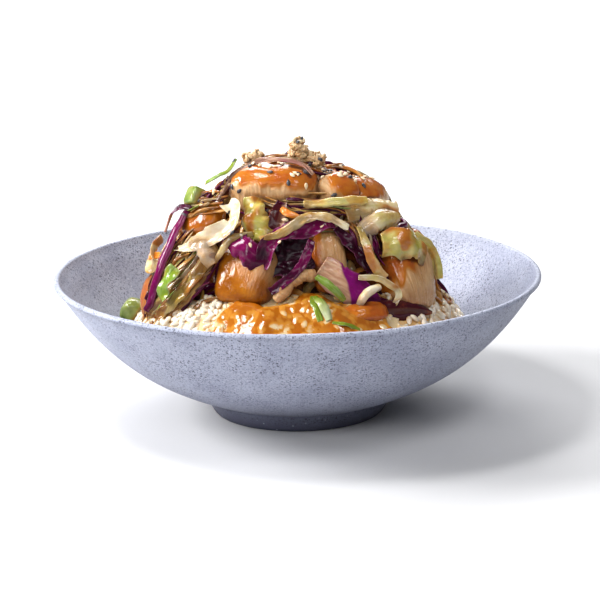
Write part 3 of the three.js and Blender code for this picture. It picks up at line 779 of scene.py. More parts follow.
@dataclass(frozen=True)
class Sauce:
    """The sauce where it pools, paler where it is thin over the grains."""

    film: Colour = (0.63, 0.47, 0.26)
    thin: Colour = (0.50, 0.200, 0.020)
    thick: Colour = (0.35, 0.094, 0.003)

    def material(self) -> bpy.types.Material:
        """The finish as a material.

        Returns:
            Its material.
        """
        graph = Graph("teriyaki_sauce")
        depth = graph.painted("tone")
        base = graph.mix(depth.step(0.04, 0.34), self.film, self.thin)
        base = graph.mix(depth.step(0.34, 0.95), base, self.thick)
        return graph.finish(
            base, 0.06, graph.cloud(260, detail=1), 0.5 * MM, Coat_Weight=0.5,
            Coat_Roughness=0.02, Specular_IOR_Level=0.4, Subsurface_Weight=0.15,
            Subsurface_Scale=1.5 * MM, Subsurface_Radius=(1.0, 0.4, 0.1),
        )


@dataclass(frozen=True)
class StirFry:
    """The glazed middle of the heap, near black as painted shade in the gaps between pieces."""

    # Near black: painted shade in the gaps, over the stir-fry's own brown.
    dark: Colour = (0.024, 0.004, 0.002)
    brown: Colour = (0.17, 0.040, 0.004)

    def material(self) -> bpy.types.Material:
        """The finish as a material.

        Returns:
            Its material.
        """
        graph = Graph("stir_fry")
        base = graph.mix(graph.cloud(160).step(0.4, 0.65), self.dark, self.brown)
        return graph.finish(base, 0.3, graph.cloud(500), 0.8 * MM, Coat_Weight=0.2,
                            Specular_IOR_Level=0.08)


@dataclass(frozen=True)
class GlazedShred:
    """Thin shreds soaked in glaze, from cream to brown."""

    cream: Colour = (0.72, 0.50, 0.18)
    brown: Colour = (0.42, 0.14, 0.010)

    def material(self) -> bpy.types.Material:
        """The finish as a material.

        Returns:
            Its material.
        """
        graph = Graph("glazed_shreds")
        vein = graph.fibre((110, 800, 110))
        base = graph.mix(graph.painted("tone"), self.cream, self.brown)
        base = AMBER.over(graph, base, graph.painted("glaze"), 0.75, 0.35)
        return graph.finish(base, 0.16, vein, 0.35 * MM, Coat_Weight=0.25, Coat_Roughness=0.04,
                            Specular_IOR_Level=0.25, Subsurface_Weight=0.15,
                            Subsurface_Scale=1.2 * MM)


@dataclass(frozen=True)
class CrispCrumb:
    """Dry golden fried crumbs."""

    gold: Colour = (0.50, 0.28, 0.10)
    pale: Colour = (0.68, 0.49, 0.28)
    brown: Colour = (0.30, 0.12, 0.03)

    def material(self) -> bpy.types.Material:
        """The finish as a material.

        Returns:
            Its material.
        """
        graph = Graph("crisp_crumbs")
        base = graph.mix(graph.painted("tone"), self.gold, self.pale)
        pits = graph.cloud(700)
        base = graph.mix(pits.step(0.5, 0.35) * 0.6, base, self.brown)
        return graph.finish(base, 0.5, pits, 0.7 * MM, Coat_Weight=0.15, Subsurface_Weight=0.1,
                            Subsurface_Scale=1 * MM)


@dataclass(frozen=True)
class SesameSeed:
    """A seed's satin skin, in its colour."""

    name: str
    skin: Colour
    shade: Colour

    def material(self) -> bpy.types.Material:
        """The finish as a material.

        Returns:
            Its material.
        """
        graph = Graph(self.name)
        base = graph.mix(graph.cloud(600).step(0.35, 0.65), self.shade, self.skin)
        return graph.finish(base, 0.32, graph.cloud(1400), 0.1 * MM, Coat_Weight=0.2)


WHITE_SESAME = SesameSeed("white_sesame", (0.88, 0.74, 0.50), (0.72, 0.52, 0.28))
BLACK_SESAME = SesameSeed("black_sesame", (0.014, 0.013, 0.016), (0.045, 0.042, 0.05))


class Pattern:
    """A shape modelled once, whose bent or turned copies make the pieces."""

    def __init__(self, obj: bpy.types.Object) -> None:
        """Takes the shape of an object, and removes the object.

        Args:
            obj: The object, of one mesh of its own.
        """
        mesh = obj.data
        self.points: Points = Bench.points(obj)
        self.faces = [tuple(face.vertices) for face in mesh.polygons]
        bpy.data.objects.remove(obj)
        bpy.data.meshes.remove(mesh)

    def normals(self, points: Points) -> Points:
        """The ways out of the shape once its points are moved.

        Args:
            points: The moved points.

        Returns:
            A unit vector for each point.
        """
        corners = np.array([face[:3] for face in self.faces])
        a, b, c = (points[corners[:, i]] for i in range(3))
        across = np.cross(b - a, c - a)
        total = np.zeros_like(points)
        for i in range(3):
            np.add.at(total, corners[:, i], across)
        return unit(total)


class Bench:
    """The bench on which pieces are added as primitives, shaped and finished."""

    @staticmethod
    def clear() -> None:
        """Deselects everything."""
        bpy.ops.object.select_all(action="DESELECT")

    @classmethod
    def add(cls, name: str, primitive: Callable[..., Any], **settings: Any) -> bpy.types.Object:
        """Adds a primitive with nothing else selected.

        Args:
            name: The new object's name.
            primitive: The operator that adds it.
            **settings: The operator's settings.

        Returns:
            The new object.
        """
        cls.clear()
        primitive(**settings)
        obj = bpy.context.object
        obj.name = obj.data.name = name
        return obj

    @classmethod
    def apply(cls, obj: bpy.types.Object, kind: str, **settings: Any) -> None:
        """Adds a modifier to an object and applies it.

        Args:
            obj: The object.
            kind: The modifier's type.
            **settings: Its settings by name.
        """
        cls.clear()
        obj.select_set(True)
        bpy.context.view_layer.objects.active = obj
        bpy.ops.object.modifier_add(type=kind)
        modifier = obj.modifiers[-1]
        for name, setting in settings.items():
            setattr(modifier, name, setting)
        bpy.ops.object.modifier_apply(modifier=modifier.name)

    @staticmethod
    def points(obj: bpy.types.Object) -> Points:
        """An object's points.

        Args:
            obj: The object.

        Returns:
            Its points as rows.
        """
        flat = np.empty(len(obj.data.vertices) * 3)
        obj.data.vertices.foreach_get("co", flat)
        return flat.reshape(-1, 3)

    @staticmethod
    def move(obj: bpy.types.Object, points: Points) -> None:
        """Moves an object's points."""
        obj.data.vertices.foreach_set("co", np.ascontiguousarray(points, np.float32).ravel())
        obj.data.update()

    @staticmethod
    def paint(mesh: bpy.types.Mesh, name: str, values: Points) -> None:
        """Paints a number or a vector on each point of a mesh.

        Args:
            mesh: The mesh.
            name: The attribute that holds them.
            values: The numbers, or the vectors as rows.
        """
        kind, part = ("FLOAT_VECTOR", "vector") if values.ndim == 2 else ("FLOAT", "value")
        attribute = mesh.attributes.new(name, kind, "POINT")
        attribute.data.foreach_set(part, values.astype(np.float32).ravel())


@cache
def ball(subdivisions: int) -> Pattern:
    """An even ball of radius 1, modelled once."""
    add = bpy.ops.mesh.primitive_ico_sphere_add
    return Pattern(Bench.add("ball", add, subdivisions=subdivisions, radius=1))


def globe(segments: int, rings: int) -> Pattern:
    """A ball of radius 1 with rings about its axis."""
    add = bpy.ops.mesh.primitive_uv_sphere_add
    return Pattern(Bench.add("globe", add, segments=segments, ring_count=rings, radius=1))


def sheet(name: str, along: int, across: int) -> bpy.types.Object:
    """A flat sheet of 1 by 1, in cells."""
    add = bpy.ops.mesh.primitive_grid_add
    return Bench.add(name, add, x_subdivisions=along, y_subdivisions=across, size=1)


@cache
def slab(along: int, across: int) -> Pattern:
    """Models a slab with rounded edges, once.

    Args:
        along: Cells along it.
        across: Cells across it.

    Returns:
        The slab, with X and Z from -0.5 to 0.5 and Y from -1 to 1.
    """
    obj = sheet("slab", along, across)
    Bench.apply(obj, "SOLIDIFY", thickness=0.06, offset=0)
    Bench.apply(obj, "SUBSURF", levels=1, render_levels=1)
    pattern = Pattern(obj)
    low, high = pattern.points.min(axis=0), pattern.points.max(axis=0)
    pattern.points = (pattern.points - (low + high) / 2) / (high - low) * np.array([1, 2, 1])
    return pattern


@dataclass
class Batch:
    """Copies of patterns that are gathered and made into one piece."""

    name: str
    points: list[Points] = field(default_factory=list)
    faces: list[list[tuple[int, ...]]] = field(default_factory=list)
    paint: dict[str, list[Points]] = field(default_factory=dict)
    count: int = 0

    def add(self, pattern: Pattern, points: Points, **paint: Points | float) -> None:
        """Adds a copy.

        Args:
            pattern: What is copied.
            points: Where the copy's points are.
            **paint: Numbers or vectors for its points, by attribute.
        """
        start = self.count
        self.points.append(points)
        self.faces.append([tuple(i + start for i in face) for face in pattern.faces])
        for name, value in paint.items():
            width = (3,) if name == RUN else ()
            value = np.broadcast_to(np.asarray(value, float), (len(points), *width))
            self.paint.setdefault(name, []).append(value)
        self.count += len(points)

    def make(self) -> bpy.types.Object:
        """Makes the piece.

        Returns:
            The piece's object, shaded smooth.
        """
        mesh = bpy.data.meshes.new(self.name)
        mesh.from_pydata(np.vstack(self.points), [], [f for part in self.faces for f in part])
        for name, parts in self.paint.items():
            Bench.paint(mesh, name, np.concatenate(parts))
        obj = bpy.data.objects.new(self.name, mesh)
        bpy.context.scene.collection.objects.link(obj)
        mesh.shade_smooth()
        return obj


@dataclass
class Kitchen:
    """What all the makers share: the finishes and the finished pieces."""

    finishes: dict[Finish, bpy.types.Material] = field(default_factory=dict)
    pieces: list[bpy.types.Object] = field(default_factory=list)

    def serve(self, obj: bpy.types.Object, finish: Finish, slot: Slot, *nodes: str) -> None:
        """Dresses a piece and puts it in its place.

        Args:
            obj: The piece.
            finish: What it is finished in.
            slot: The record's material slot of that finish; not used.
            *nodes: The frame's nodes that it stands for.
        """
        if finish not in self.finishes:
            self.finishes[finish] = finish.material()
        obj.data.materials.clear()
        obj.data.materials.append(self.finishes[finish])
        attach(obj, ROOT)
        if nodes:
            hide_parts(*nodes)
        self.pieces.append(obj)
        log.info("%s: %d faces", obj.name, len(obj.data.polygons))


@dataclass
class Bowl:
    """The turned stoneware bowl on its foot ring.

    Its outer wall rises from the foot's top to the rim, by its straight share in a line and by the
    rest in a curve. The cap is the small disc at the middle that the turning starts from.
    """

    rim_radius: float = 120 * MM
    height: float = 70 * MM
    foot_radius: float = 42 * MM
    foot_top_radius: float = 45 * MM
    foot_height: float = 8.4 * MM
    recess_radius: float = 36 * MM
    recess_depth: float = 3.5 * MM
    base: float = 6 * MM
    wall: float = 5.2 * MM
    lip: float = 3.2 * MM
    straight: float = 0.47
    curve_power: float = 3
    cap: float = 2 * MM
    segments: int = 224
    steps: int = 26
    lip_turn: int = 20
    wobble: float = 0.25 * MM
    wobble_size: float = 45 * MM

    def share(self, radius: Radius) -> Radius:
        """How far a radius is from the foot's top to the rim, from 0 to 1."""
        return (radius - self.foot_top_radius) / (self.rim_radius - self.foot_top_radius)

    def outer(self, radius: Radius) -> Radius:
        """The outer wall's height at a radius.

        Args:
            radius: The radius, or radii.

        Returns:
            The height at each.
        """
        share = self.share(radius)
        rise = self.straight * share + (1 - self.straight) * share**self.curve_power
        return self.foot_height + (self.height - self.foot_height) * rise

    def slope(self, radius: Radius) -> Radius:
        """The outer wall's slope at a radius."""
        step = 0.5 * MM
        return (self.outer(radius + step) - self.outer(radius - step)) / (2 * step)

    def thickness(self, share: Radius) -> Radius:
        """The wall's thickness at a share of the way to the rim."""
        return self.wall + (self.lip - self.wall) * share**2

    def inner(self, radius: float, share: float) -> tuple[float, float]:
        """The inner wall's point across from the outer wall's point at a radius.

        Args:
            radius: The outer point's radius.
            share: How far it is on the way to the rim.

        Returns:
            The inner point's radius and height.
        """
        slope, thickness = self.slope(radius), self.thickness(share)
        length = math.hypot(1, slope)
        return radius - thickness * slope / length, self.outer(radius) + thickness / length

    def inside(self, radius: Points) -> Points:
        """The inner wall's height at radii outside the well."""
        thickness = self.thickness(self.share(radius))
        return self.outer(radius) + thickness * np.sqrt(1 + self.slope(radius) ** 2)

    def foot_line(self) -> list[tuple[float, float]]:
        """The foot ring's outline, from the recess's middle out to the wall.

        Returns:
            Its points, each a radius and a height.
        """
        ring, top, recess = self.foot_radius, self.foot_top_radius, self.recess_radius
        depth = self.recess_depth
        return [
            (self.cap, depth), (recess - 1 * MM, depth),
            (recess, depth - 0.6 * MM), (recess + 0.5 * MM, 0.6 * MM), (recess + 1.1 * MM, 0),
            (ring - 1.2 * MM, 0), (ring - 0.3 * MM, 0.3 * MM), (ring + 0.5 * MM, 1.2 * MM),
            (top - 0.9 * MM, 3.6 * MM), (top - 0.2 * MM, 6.4 * MM),
        ]

    def outer_line(self) -> list[tuple[float, float]]:
        """The outer wall's outline, from the foot's top up to the lip.

        Returns:
            Its points, each a radius and a height.
        """
        top = self.foot_top_radius
        reach = self.rim_radius - 1.2 * MM - top
        radii = [top + reach * i / self.steps for i in range(self.steps + 1)]
        return [(radius, self.outer(radius)) for radius in radii]

    def lip_line(self) -> list[tuple[float, float]]:
        """The lip's round, from outside over the top.

        Returns:
            Its points, each a radius and a height.
        """
        half = self.lip * 0.5
        angles = [math.radians(degrees) for degrees in range(-10, 171, self.lip_turn)]
        return [(self.rim_radius - half + half * math.cos(angle),
                 self.height - half + half * math.sin(angle)) for angle in angles]

    def inner_line(self) -> list[tuple[float, float]]:
        """The inner wall's outline, from under the lip down and in to the well's middle.

        Returns:
            Its points, each a radius and a height.
        """
        low = self.foot_top_radius + 1 * MM
        reach = self.rim_radius - self.lip * 0.3 - low
        shares = [i / self.steps for i in range(self.steps, -1, -1)]
        line = [self.inner(low + reach * share, share) for share in shares]
        well, foot = self.base + self.recess_depth, self.foot_radius
        line = [point for point in line if point[1] < self.height - self.lip * 0.6]
        line += [(foot * 0.6, well + 0.4 * MM), (foot * 0.3, well + 0.1 * MM), (self.cap, well)]
        return line

    def profile(self) -> list[tuple[float, float]]:
        """The bowl's outline from the recess's middle out over the foot, rim and well."""
        return self.foot_line() + self.outer_line() + self.lip_line() + self.inner_line()

    def make(self, kitchen: Kitchen) -> None:
        """Turns the bowl and dresses it.

        Args:
            kitchen: What the makers share.
        """
        line = self.profile()
        radius, height = line[0]
        obj = Bench.add("stoneware_bowl", bpy.ops.mesh.primitive_circle_add, radius=radius,
                        vertices=self.segments, fill_type="NGON", location=(0, 0, height))
        bpy.ops.object.mode_set(mode="EDIT")
        bpy.ops.mesh.select_all(action="SELECT")
        for next_radius, next_height in line[1:]:
            lift = {"value": (0, 0, next_height - height)}
            bpy.ops.mesh.extrude_region_move(TRANSFORM_OT_translate=lift)
            scale = next_radius / radius
            bpy.ops.transform.resize(value=(scale, scale, 1), center_override=(0, 0, 0))
            radius, height = next_radius, next_height
        bpy.ops.mesh.select_all(action="SELECT")
        bpy.ops.mesh.normals_make_consistent(inside=False)
        bpy.ops.object.mode_set(mode="OBJECT")
        bpy.ops.object.transform_apply(location=True, rotation=True, scale=True)
        bpy.ops.object.shade_smooth()
        points = Bench.points(obj)
        wobble = noise(points * np.array([1, 1, 0]), self.wobble_size, 3) * self.wobble
        points[:, 2] += wobble * smooth(20 * MM, 60 * MM, points[:, 2])
        Bench.move(obj, points)
        kitchen.serve(obj, Stoneware(), Slot.STONEWARE, "bowl")


def grain_copy(points: Points, place: Points, along: Points, out: Points, size: Triple) -> Points:
    """A pattern's points laid at a place.

    Args:
        points: The pattern's points, with its length along X and its height along Z.
        place: Where its middle goes.
        along: The way of its length.
        out: About the way of its height.
        size: Its length, width and height, as factors.

    Returns:
        The laid points.
    """
    side = unit(np.cross(out, along))
    basis = np.stack([along, side, np.cross(along, side)])
    return place + (points * np.array(size)) @ basis


@dataclass
class RiceBed:
    """The bed of rice: its core, the grains that show, and the sauce that runs over them.

    Grains lie from the inner radius out, except where the heap covers them out to its share. They
    tip and differ from each other by shares of their size. The sauce lies between two bearings in
    degrees and two radii, and the stain it leaves fades over a few degrees at each side.
    """

    grains: int = 2000
    length: float = 5.4 * MM
    width: float = 2.9 * MM
    flatness: float = 0.86
    tipping: float = 0.28
    unlikeness: float = 0.07
    inner: float = 46 * MM
    covered: float = 0.88
    core_radius: float = 87.5 * MM
    core_sink: float = 0.6 * MM
    core_lump: float = 3 * MM
    well_radius: float = 50 * MM
    sauce_bearings: tuple[float, float] = (-36.0, 43.0)
    sauce_radii: tuple[float, float] = (48 * MM, 86.5 * MM)
    sauce_cells: tuple[int, int] = (200, 64)
    sauce_depth: float = 3.2 * MM
    sauce_skin: float = 1.2 * MM

    def make(self, kitchen: Kitchen) -> None:
        """Makes the core, the grains and the sauce.

        Args:
            kitchen: What the makers share.
        """
        core = self.core()
        grains = self.scatter()
        sauce = self.sauce(grains)
        kitchen.serve(core, CookedRice(), Slot.COOKED_RICE, "rice")
        kitchen.serve(grains, CookedRice(), Slot.COOKED_RICE)
        kitchen.serve(sauce, Sauce(), Slot.GLAZED_CHICKEN)

    def core(self) -> bpy.types.Object:
        """Shapes the core from a ball: the dome above and the bowl's inner wall below.

        Returns:
            The core's object.
        """
        bowl = Bowl()
        pattern = ball(6)
        d = pattern.points
        side = np.arctan2(d[:, 1], d[:, 0])
        flat = np.hypot(d[:, 0], d[:, 1])
        reach = self.core_radius * np.sin(np.minimum(flat, 1) * math.pi / 2)
        x, y = reach * np.cos(side), reach * np.sin(side)
        top = RICE.top(x, y) - self.core_sink
        wall = bowl.outer(np.maximum(reach, bowl.foot_top_radius)) + 6.5 * MM
        well = bowl.base + bowl.recess_depth + 0.9 * MM
        bottom = np.maximum(np.where(reach > self.well_radius, wall, well + 3 * MM), well)
        above = d[:, 2] > 0
        z = np.where(above, np.maximum(top, bottom + 0.2 * MM), np.minimum(bottom, top))
        points = np.stack([x, y, z], axis=1)
        points[above, 2] += layered(points, self.core_lump, 5)[above] * self.core_sink
        batch = Batch("rice_core")
        batch.add(pattern, points, glaze=self.stain(x, y))
        return batch.make()

    def stain(self, x: Points, y: Points) -> Points:
        """How much the sauce has stained the rice.

        Args:
            x: The places' X.
            y: The places' Y.

        Returns:
            A share from 0 to 1 for each place.
        """
        bearing = np.degrees(np.arctan2(x, -y))
        low, high = self.sauce_bearings
        inside = smooth(low - 6, low + 8, bearing) * (1 - smooth(high - 8, high + 6, bearing))
        spots = np.stack([x, y, np.zeros_like(x)], axis=-1)
        return np.clip(inside * 0.9 + 0.25 * smooth(0.2, 0.8, noise(spots, 9 * MM, 8)), 0, 1)

    def grain(self) -> Pattern:
        """Models one grain, plump in the middle.

        Returns:
            The grain, with a length of 1 along X.
        """
        grain = globe(8, 7)
        x, y, z = grain.points.T
        plump = 1 - 0.25 * z**2
        grain.points = np.stack([z, x * plump, y * plump], axis=1) * 0.5
        return grain

    def scatter(self) -> bpy.types.Object:
        """Lays the grains, evenly round by the golden angle, flat or tipped as they fell.

        Returns:
            The grains as one object.
        """
        draw = np.random.default_rng(17)
        grain = self.grain()
        height = self.width * self.flatness
        batch = Batch("rice_grains")
        bearing = 0.0
        while len(batch.points) < self.grains:
            bearing += GOLDEN_TURN
            share = draw.random()
            radius = math.sqrt(self.inner**2 + (RICE.radius**2 - self.inner**2) * share)
            lift = draw.random() * 2.2 - 0.9
            bare = RICE.place(bearing, radius, 0.0).point
            lift -= 1.1 * float(self.stain(bare[:1], bare[1:2])[0])
            place = RICE.place(bearing + draw.normal() * 2, radius, lift * MM)
            x, y = place.point[:2] / (HEAP.half_width, HEAP.half_depth)
            if math.hypot(x, y) < self.covered:
                continue
            spin = draw.random() * math.pi
            along = unit(place.around * math.cos(spin) + place.upward * math.sin(spin)
                         + place.out * draw.normal() * self.tipping)
            size = np.array([self.length, self.width, height]) * draw.normal(1, self.unlikeness, 3)
            size = np.clip(size, 0.8 * height, 1.1 * self.length)
            points = grain_copy(grain.points, place.point, along, place.out, tuple(size))
            stain = self.stain(place.point[:1], place.point[1:2])[0]
            batch.add(grain, points, glaze=stain * draw.uniform(0.5, 1))
        return batch.make()

    def sauce(self, grains: bpy.types.Object) -> bpy.types.Object:
        """Drapes the sauce over the front grains and lets it sink between them at its edges.

        Args:
            grains: The grains that it runs over.

        Returns:
            The sauce's object, painted with its depth as its tone.
        """
        obj = sheet("teriyaki_sauce", *self.sauce_cells)
        flat = Bench.points(obj)
        along, across = flat[:, 0] + 0.5, flat[:, 1] + 0.5
        low, high = self.sauce_bearings
        inner, outer = self.sauce_radii
        side = np.radians(low + (high - low) * along)
        radius = inner + (outer - inner) * across
        x, y = radius * np.sin(side), -radius * np.cos(side)
        Bench.move(obj, np.stack([x, y, RICE.top(x, y) + 12 * MM], axis=1))
        Bench.apply(obj, "SHRINKWRAP", target=grains, wrap_method="PROJECT", use_project_z=True,
                    use_negative_direction=True, use_positive_direction=False)
        points = Bench.points(obj)
        bare = RICE.top(points[:, 0], points[:, 1])
        missed = points[:, 2] > bare + 6 * MM
        points[:, 2] = np.where(missed, bare - 1 * MM, points[:, 2])
        grainy = points[:, 2].copy()
        Bench.move(obj, points)
        Bench.apply(obj, "SMOOTH", iterations=4, factor=0.5)
        skin = Bench.points(obj)[:, 2] + 0.15 * MM
        spots = np.stack([x, y, np.zeros_like(x)], axis=1)
        patches = layered(spots, 10 * MM, 21, 2)
        inward = np.minimum(np.minimum(along, 1 - along) * 7, across * 2.2)
        cover = smooth(-0.1, 0.6, inward * 1.6 - 0.35 + patches * 0.9)
        pool = bare + (2.0 + 1.9 * layered(spots, 9 * MM, 33, 2)) * MM
        gap = np.clip((pool - skin) / (1.8 * MM), -1, 1)
        level = np.maximum(pool, skin) + 0.3 * MM * (1 - np.abs(gap))
        level = np.maximum(level - (1 - cover) * self.sauce_depth, Bowl().inside(radius) + 0.2 * MM)
        depth = np.clip((level - grainy) / self.sauce_depth + 0.25 * patches, 0, 1)
        Bench.move(obj, np.stack([x, y, level], axis=1))
        Bench.paint(obj.data, "tone", depth)
        Bench.apply(obj, "SOLIDIFY", thickness=self.sauce_skin, offset=-1)
        bpy.ops.object.shade_smooth()
        return obj


@dataclass(frozen=True)
class Chunk:
    """A lumpy piece with rounded corners that lies on its bed.

    Size is its length round the bed, its width up it and its thickness out of it, in mm. Turn is
    its spin on the slope, its tilt about the level line and its lean about the slope line, in
    degrees. Square is the power of its roundness: 2 is a ball and more has squarer sides. The
    glaze covers it on the side of glaze_way, a way in the bowl's frame, from glaze_from on, and
    lies on the rest as a thin film. Its tone falls away from that side by the share of tone_fall.
    Seared and fibre are the shares of its browned corners and its grooves, and fine is how often
    its ball is divided.
    """

    name: str
    at: Triple
    size: Triple
    turn: Triple = (0, 0, 0)
    square: float = 3
    rough: float = 0.06
    seed: int = 1
    bed: Bed = Bed.HEAP
    glaze_way: Triple = (0, -0.1, 1)
    glaze_from: float = 0.2
    film: float = 0.1
    tone: float = 0.3
    tone_fall: float = 0.0
    seared: float = 0.5
    fibre: float = 0.5
    fine: int = 5
    fan: float = 45
    relief: float = 0.45

    def lumps(self, d: Points) -> Points:
        """Soft lumps.

        Args:
            d: Directions as rows.

        Returns:
            A number from about -1 to 1 for each.
        """
        x, y, z = d.T
        seed = self.seed
        first = np.sin(2.3 * x + seed) * np.sin(2.9 * y + 2 * seed)
        second = np.sin(4.1 * z + 3 * seed) * np.cos(3.7 * x - seed)
        third = np.sin(6.3 * y + 5 * seed) * np.sin(5.9 * z + seed)
        return 0.5 * first + 0.3 * second + 0.2 * third

    def form(self, d: Points) -> Points:
        """The rounded and lumpy form, before its sizes.

        Args:
            d: Directions from its middle, as rows.

        Returns:
            The form's point in each direction.
        """
        scale = (np.abs(d) ** self.square).sum(axis=1) ** (-1 / self.square)
        scale *= 1 + self.rough * self.lumps(d)
        return d * scale[:, None]

    def basis(self) -> tuple[Points, Points]:
        """Where and how it lies.

        Returns:
            Its middle, and its three ways as rows.
        """
        place = self.bed.place(self.at)
        spin, tilt, lean = (math.radians(angle) for angle in self.turn)
        rotation = Matrix.Rotation(tilt, 3, "X") @ Matrix.Rotation(lean, 3, "Y")
        rotation = np.array(rotation @ Matrix.Rotation(spin, 3, "Z"))
        return place.point, (np.stack([place.around, place.upward, place.out]).T @ rotation).T

    def run(self, local: Points) -> Points:
        """Coordinates along the fibres, which fan out from a point beside the piece.

        Args:
            local: Points in its own ways.

        Returns:
            The coordinates of each.
        """
        fan = self.fan
        across = np.arctan2(local[:, 0], local[:, 1] + fan * MM) * fan * MM
        return np.stack([across, local[:, 1], local[:, 2]], axis=1)

    def reach(self, local: Points, facing: Points, ways: Points, patches: Points) -> Points:
        """How far each point is inside the glaze's edge.

        Args:
            local: The points, from the piece's middle.
            facing: The way that each point faces.
            ways: The piece's three ways as rows.
            patches: The unevenness of its surface.

        Returns:
            A number for each point, above 0 inside the glaze.
        """
        runs = noise((local @ ways) * np.array([1, 1, 0.2]), 2.6 * MM, self.seed + 17)
        return facing @ ways @ unit(np.array(self.glaze_way)) - self.glaze_from + (
            patches * 0.22 + runs * 0.26)

    def bumps(self, local: Points, body: Points, patches: Points) -> Points:
        """The height of the fibres, the glaze and the unevenness.

        Args:
            local: The points, from the piece's middle.
            body: How much of the glaze's body lies on each.
            patches: The unevenness of its surface.

        Returns:
            The height of each point, as a share of the relief.
        """
        ridges = self.run(local) * np.array([2.8, 0.16, 0.3])
        creases = noise(ridges, 4 * MM, self.seed)
        grooves = 0.7 * creases - 0.7 * (1 - np.abs(creases)) ** 6
        grooves += 0.4 * noise(ridges, 1.7 * MM, 9)
        height = grooves * (1 - body) * self.fibre + body * (0.9 + 0.5 * patches)
        height += layered(local, 6 * MM, self.seed + 11) * 0.6
        return height + 1.5 * layered(local, 13 * MM, self.seed + 31, 2)

    def make(self, kitchen: Kitchen, finish: Finish, slot: Slot) -> None:
        """Shapes the chunk from a ball and dresses it.

        Args:
            kitchen: What the makers share.
            finish: What it is finished in.
            slot: The record's slot of that finish.
        """
        pattern = ball(self.fine)
        form = self.form(unit(pattern.points))
        local = form * np.array(self.size) * 0.5 * MM
        middle, ways = self.basis()
        out = pattern.normals(local)
        patches = layered(local, 8 * MM, self.seed + 3, 2)
        reach = self.reach(local, out * 0.35 + unit(form), ways, patches)
        body = smooth(-0.02, 0.2, reach)
        film = np.clip(self.film * (1 + 0.8 * patches), 0, 1)
        glaze = np.maximum(smooth(-0.3, 0.35, reach), film)
        corner = smooth(1.1, 1.34, np.linalg.norm(form, axis=1))
        edge = corner * smooth(-0.3, 0.5, patches + 0.3) * self.seared
        tone = self.tone * (1 - self.tone_fall * (1 - smooth(-1.4, 0.1, reach)))
        tone = np.clip(tone + 0.4 * layered(local, 8 * MM, self.seed + 5), 0, 1)
        height = self.bumps(local, body, patches)
        points = middle + (local + out * height[:, None] * self.relief * MM) @ ways
        batch = Batch(self.name + "_finished")
        batch.add(pattern, points, tone=tone, glaze=glaze, edge=edge, run=self.run(local))
        kitchen.serve(batch.make(), finish, slot, self.name)


@dataclass
class Crowding:
    """How closely other pieces crowd each point, found on a grid of small cells.

    From each point it looks out a few steps, straight and slanted, for cells of other pieces.
    """

    cell: float = 1.5 * MM
    margin: float = 8 * MM
    start: float = 0.4 * MM
    steps: tuple[float, ...] = (1.5 * MM, 3.0 * MM, 4.5 * MM)
    slants: tuple[float, ...] = (0, 0.9, -0.9)
    shared: int = -1

    def cells(self, points: Points, low: Points) -> tuple[Points, ...]:
        """The grid's cells in which points lie."""
        return tuple(((points - low) / self.cell).astype(int).T)

    def paint(self, pieces: Sequence[bpy.types.Object]) -> None:
        """Paints every piece with its crowding: sauce that pools between pieces, and painted shade
        there.

        Args:
            pieces: The pieces that lie together.
        """
        clouds = [Bench.points(obj) for obj in pieces]
        low = np.min([cloud.min(axis=0) for cloud in clouds], axis=0) - self.margin
        high = np.max([cloud.max(axis=0) for cloud in clouds], axis=0) + self.margin
        owners = np.zeros(tuple(((high - low) / self.cell).astype(int) + 1), np.int16)
        for number, cloud in enumerate(clouds, 1):
            cells = self.cells(cloud, low)
            taken = owners[cells]
            owners[cells] = np.where((taken == 0) | (taken == number), number, self.shared)
        for number, (obj, cloud) in enumerate(zip(pieces, clouds), 1):
            flat = np.empty(len(cloud) * 3, np.float32)
            obj.data.vertex_normals.foreach_get("vector", flat)
            out = flat.reshape(-1, 3).astype(float)
            first = unit(np.cross(out, np.array([0.31, 0.52, 0.79])))
            second = np.cross(out, first)
            ways = [first * a + second * b for a, b in product(self.slants, repeat=2)]
            total = np.zeros(len(cloud))
            for way in ways:
                hit = np.zeros(len(cloud))
                for i, step in enumerate(self.steps):
                    spot = cloud + unit(out + way) * step + out * self.start
                    owner = owners[self.cells(spot, low)]
                    found = (owner != 0) & (owner != number)
                    hit = np.maximum(hit, found * (1 - i / (len(self.steps) + 1)))
                total += hit
            # The crowding, kept as "pool", is both sauce that pools and painted shade between
            # pieces.
            Bench.paint(obj.data, "pool", total / len(ways))


class Flesh(Enum):
    """Where a strip shows paler flesh."""

    NOWHERE = "nowhere"
    EDGES = "edges"
    MIDDLE = "middle"
    START = "start"
    END = "end"
    LEFT = "left"

    def share(self, along: Points, across: Points) -> Points:
        """How far each point is in the flesh.

        Args:
            along: The points' shares along the strip, from 0 to 1.
            across: Where they are across it, from -1 to 1.

        Returns:
            A share from 0 to 1 for each point.
        """
        return {
            Flesh.NOWHERE: np.zeros_like(along),
            Flesh.EDGES: smooth(0.55, 0.95, np.abs(across)),
            Flesh.MIDDLE: 1 - smooth(0.1, 0.45, np.abs(across)),
            Flesh.START: 1 - smooth(0.42, 0.6, 1.1 * along - 0.3 * across),
            Flesh.END: smooth(0.5, 0.75, along),
            Flesh.LEFT: 1 - smooth(-0.3, 0.2, across),
        }[self]


@dataclass(frozen=True)
class Line:
    """A strip's middle line at its points, with the ways along it, across it and out of it."""

    point: Points
    side: Points
    out: Points
    run: Points


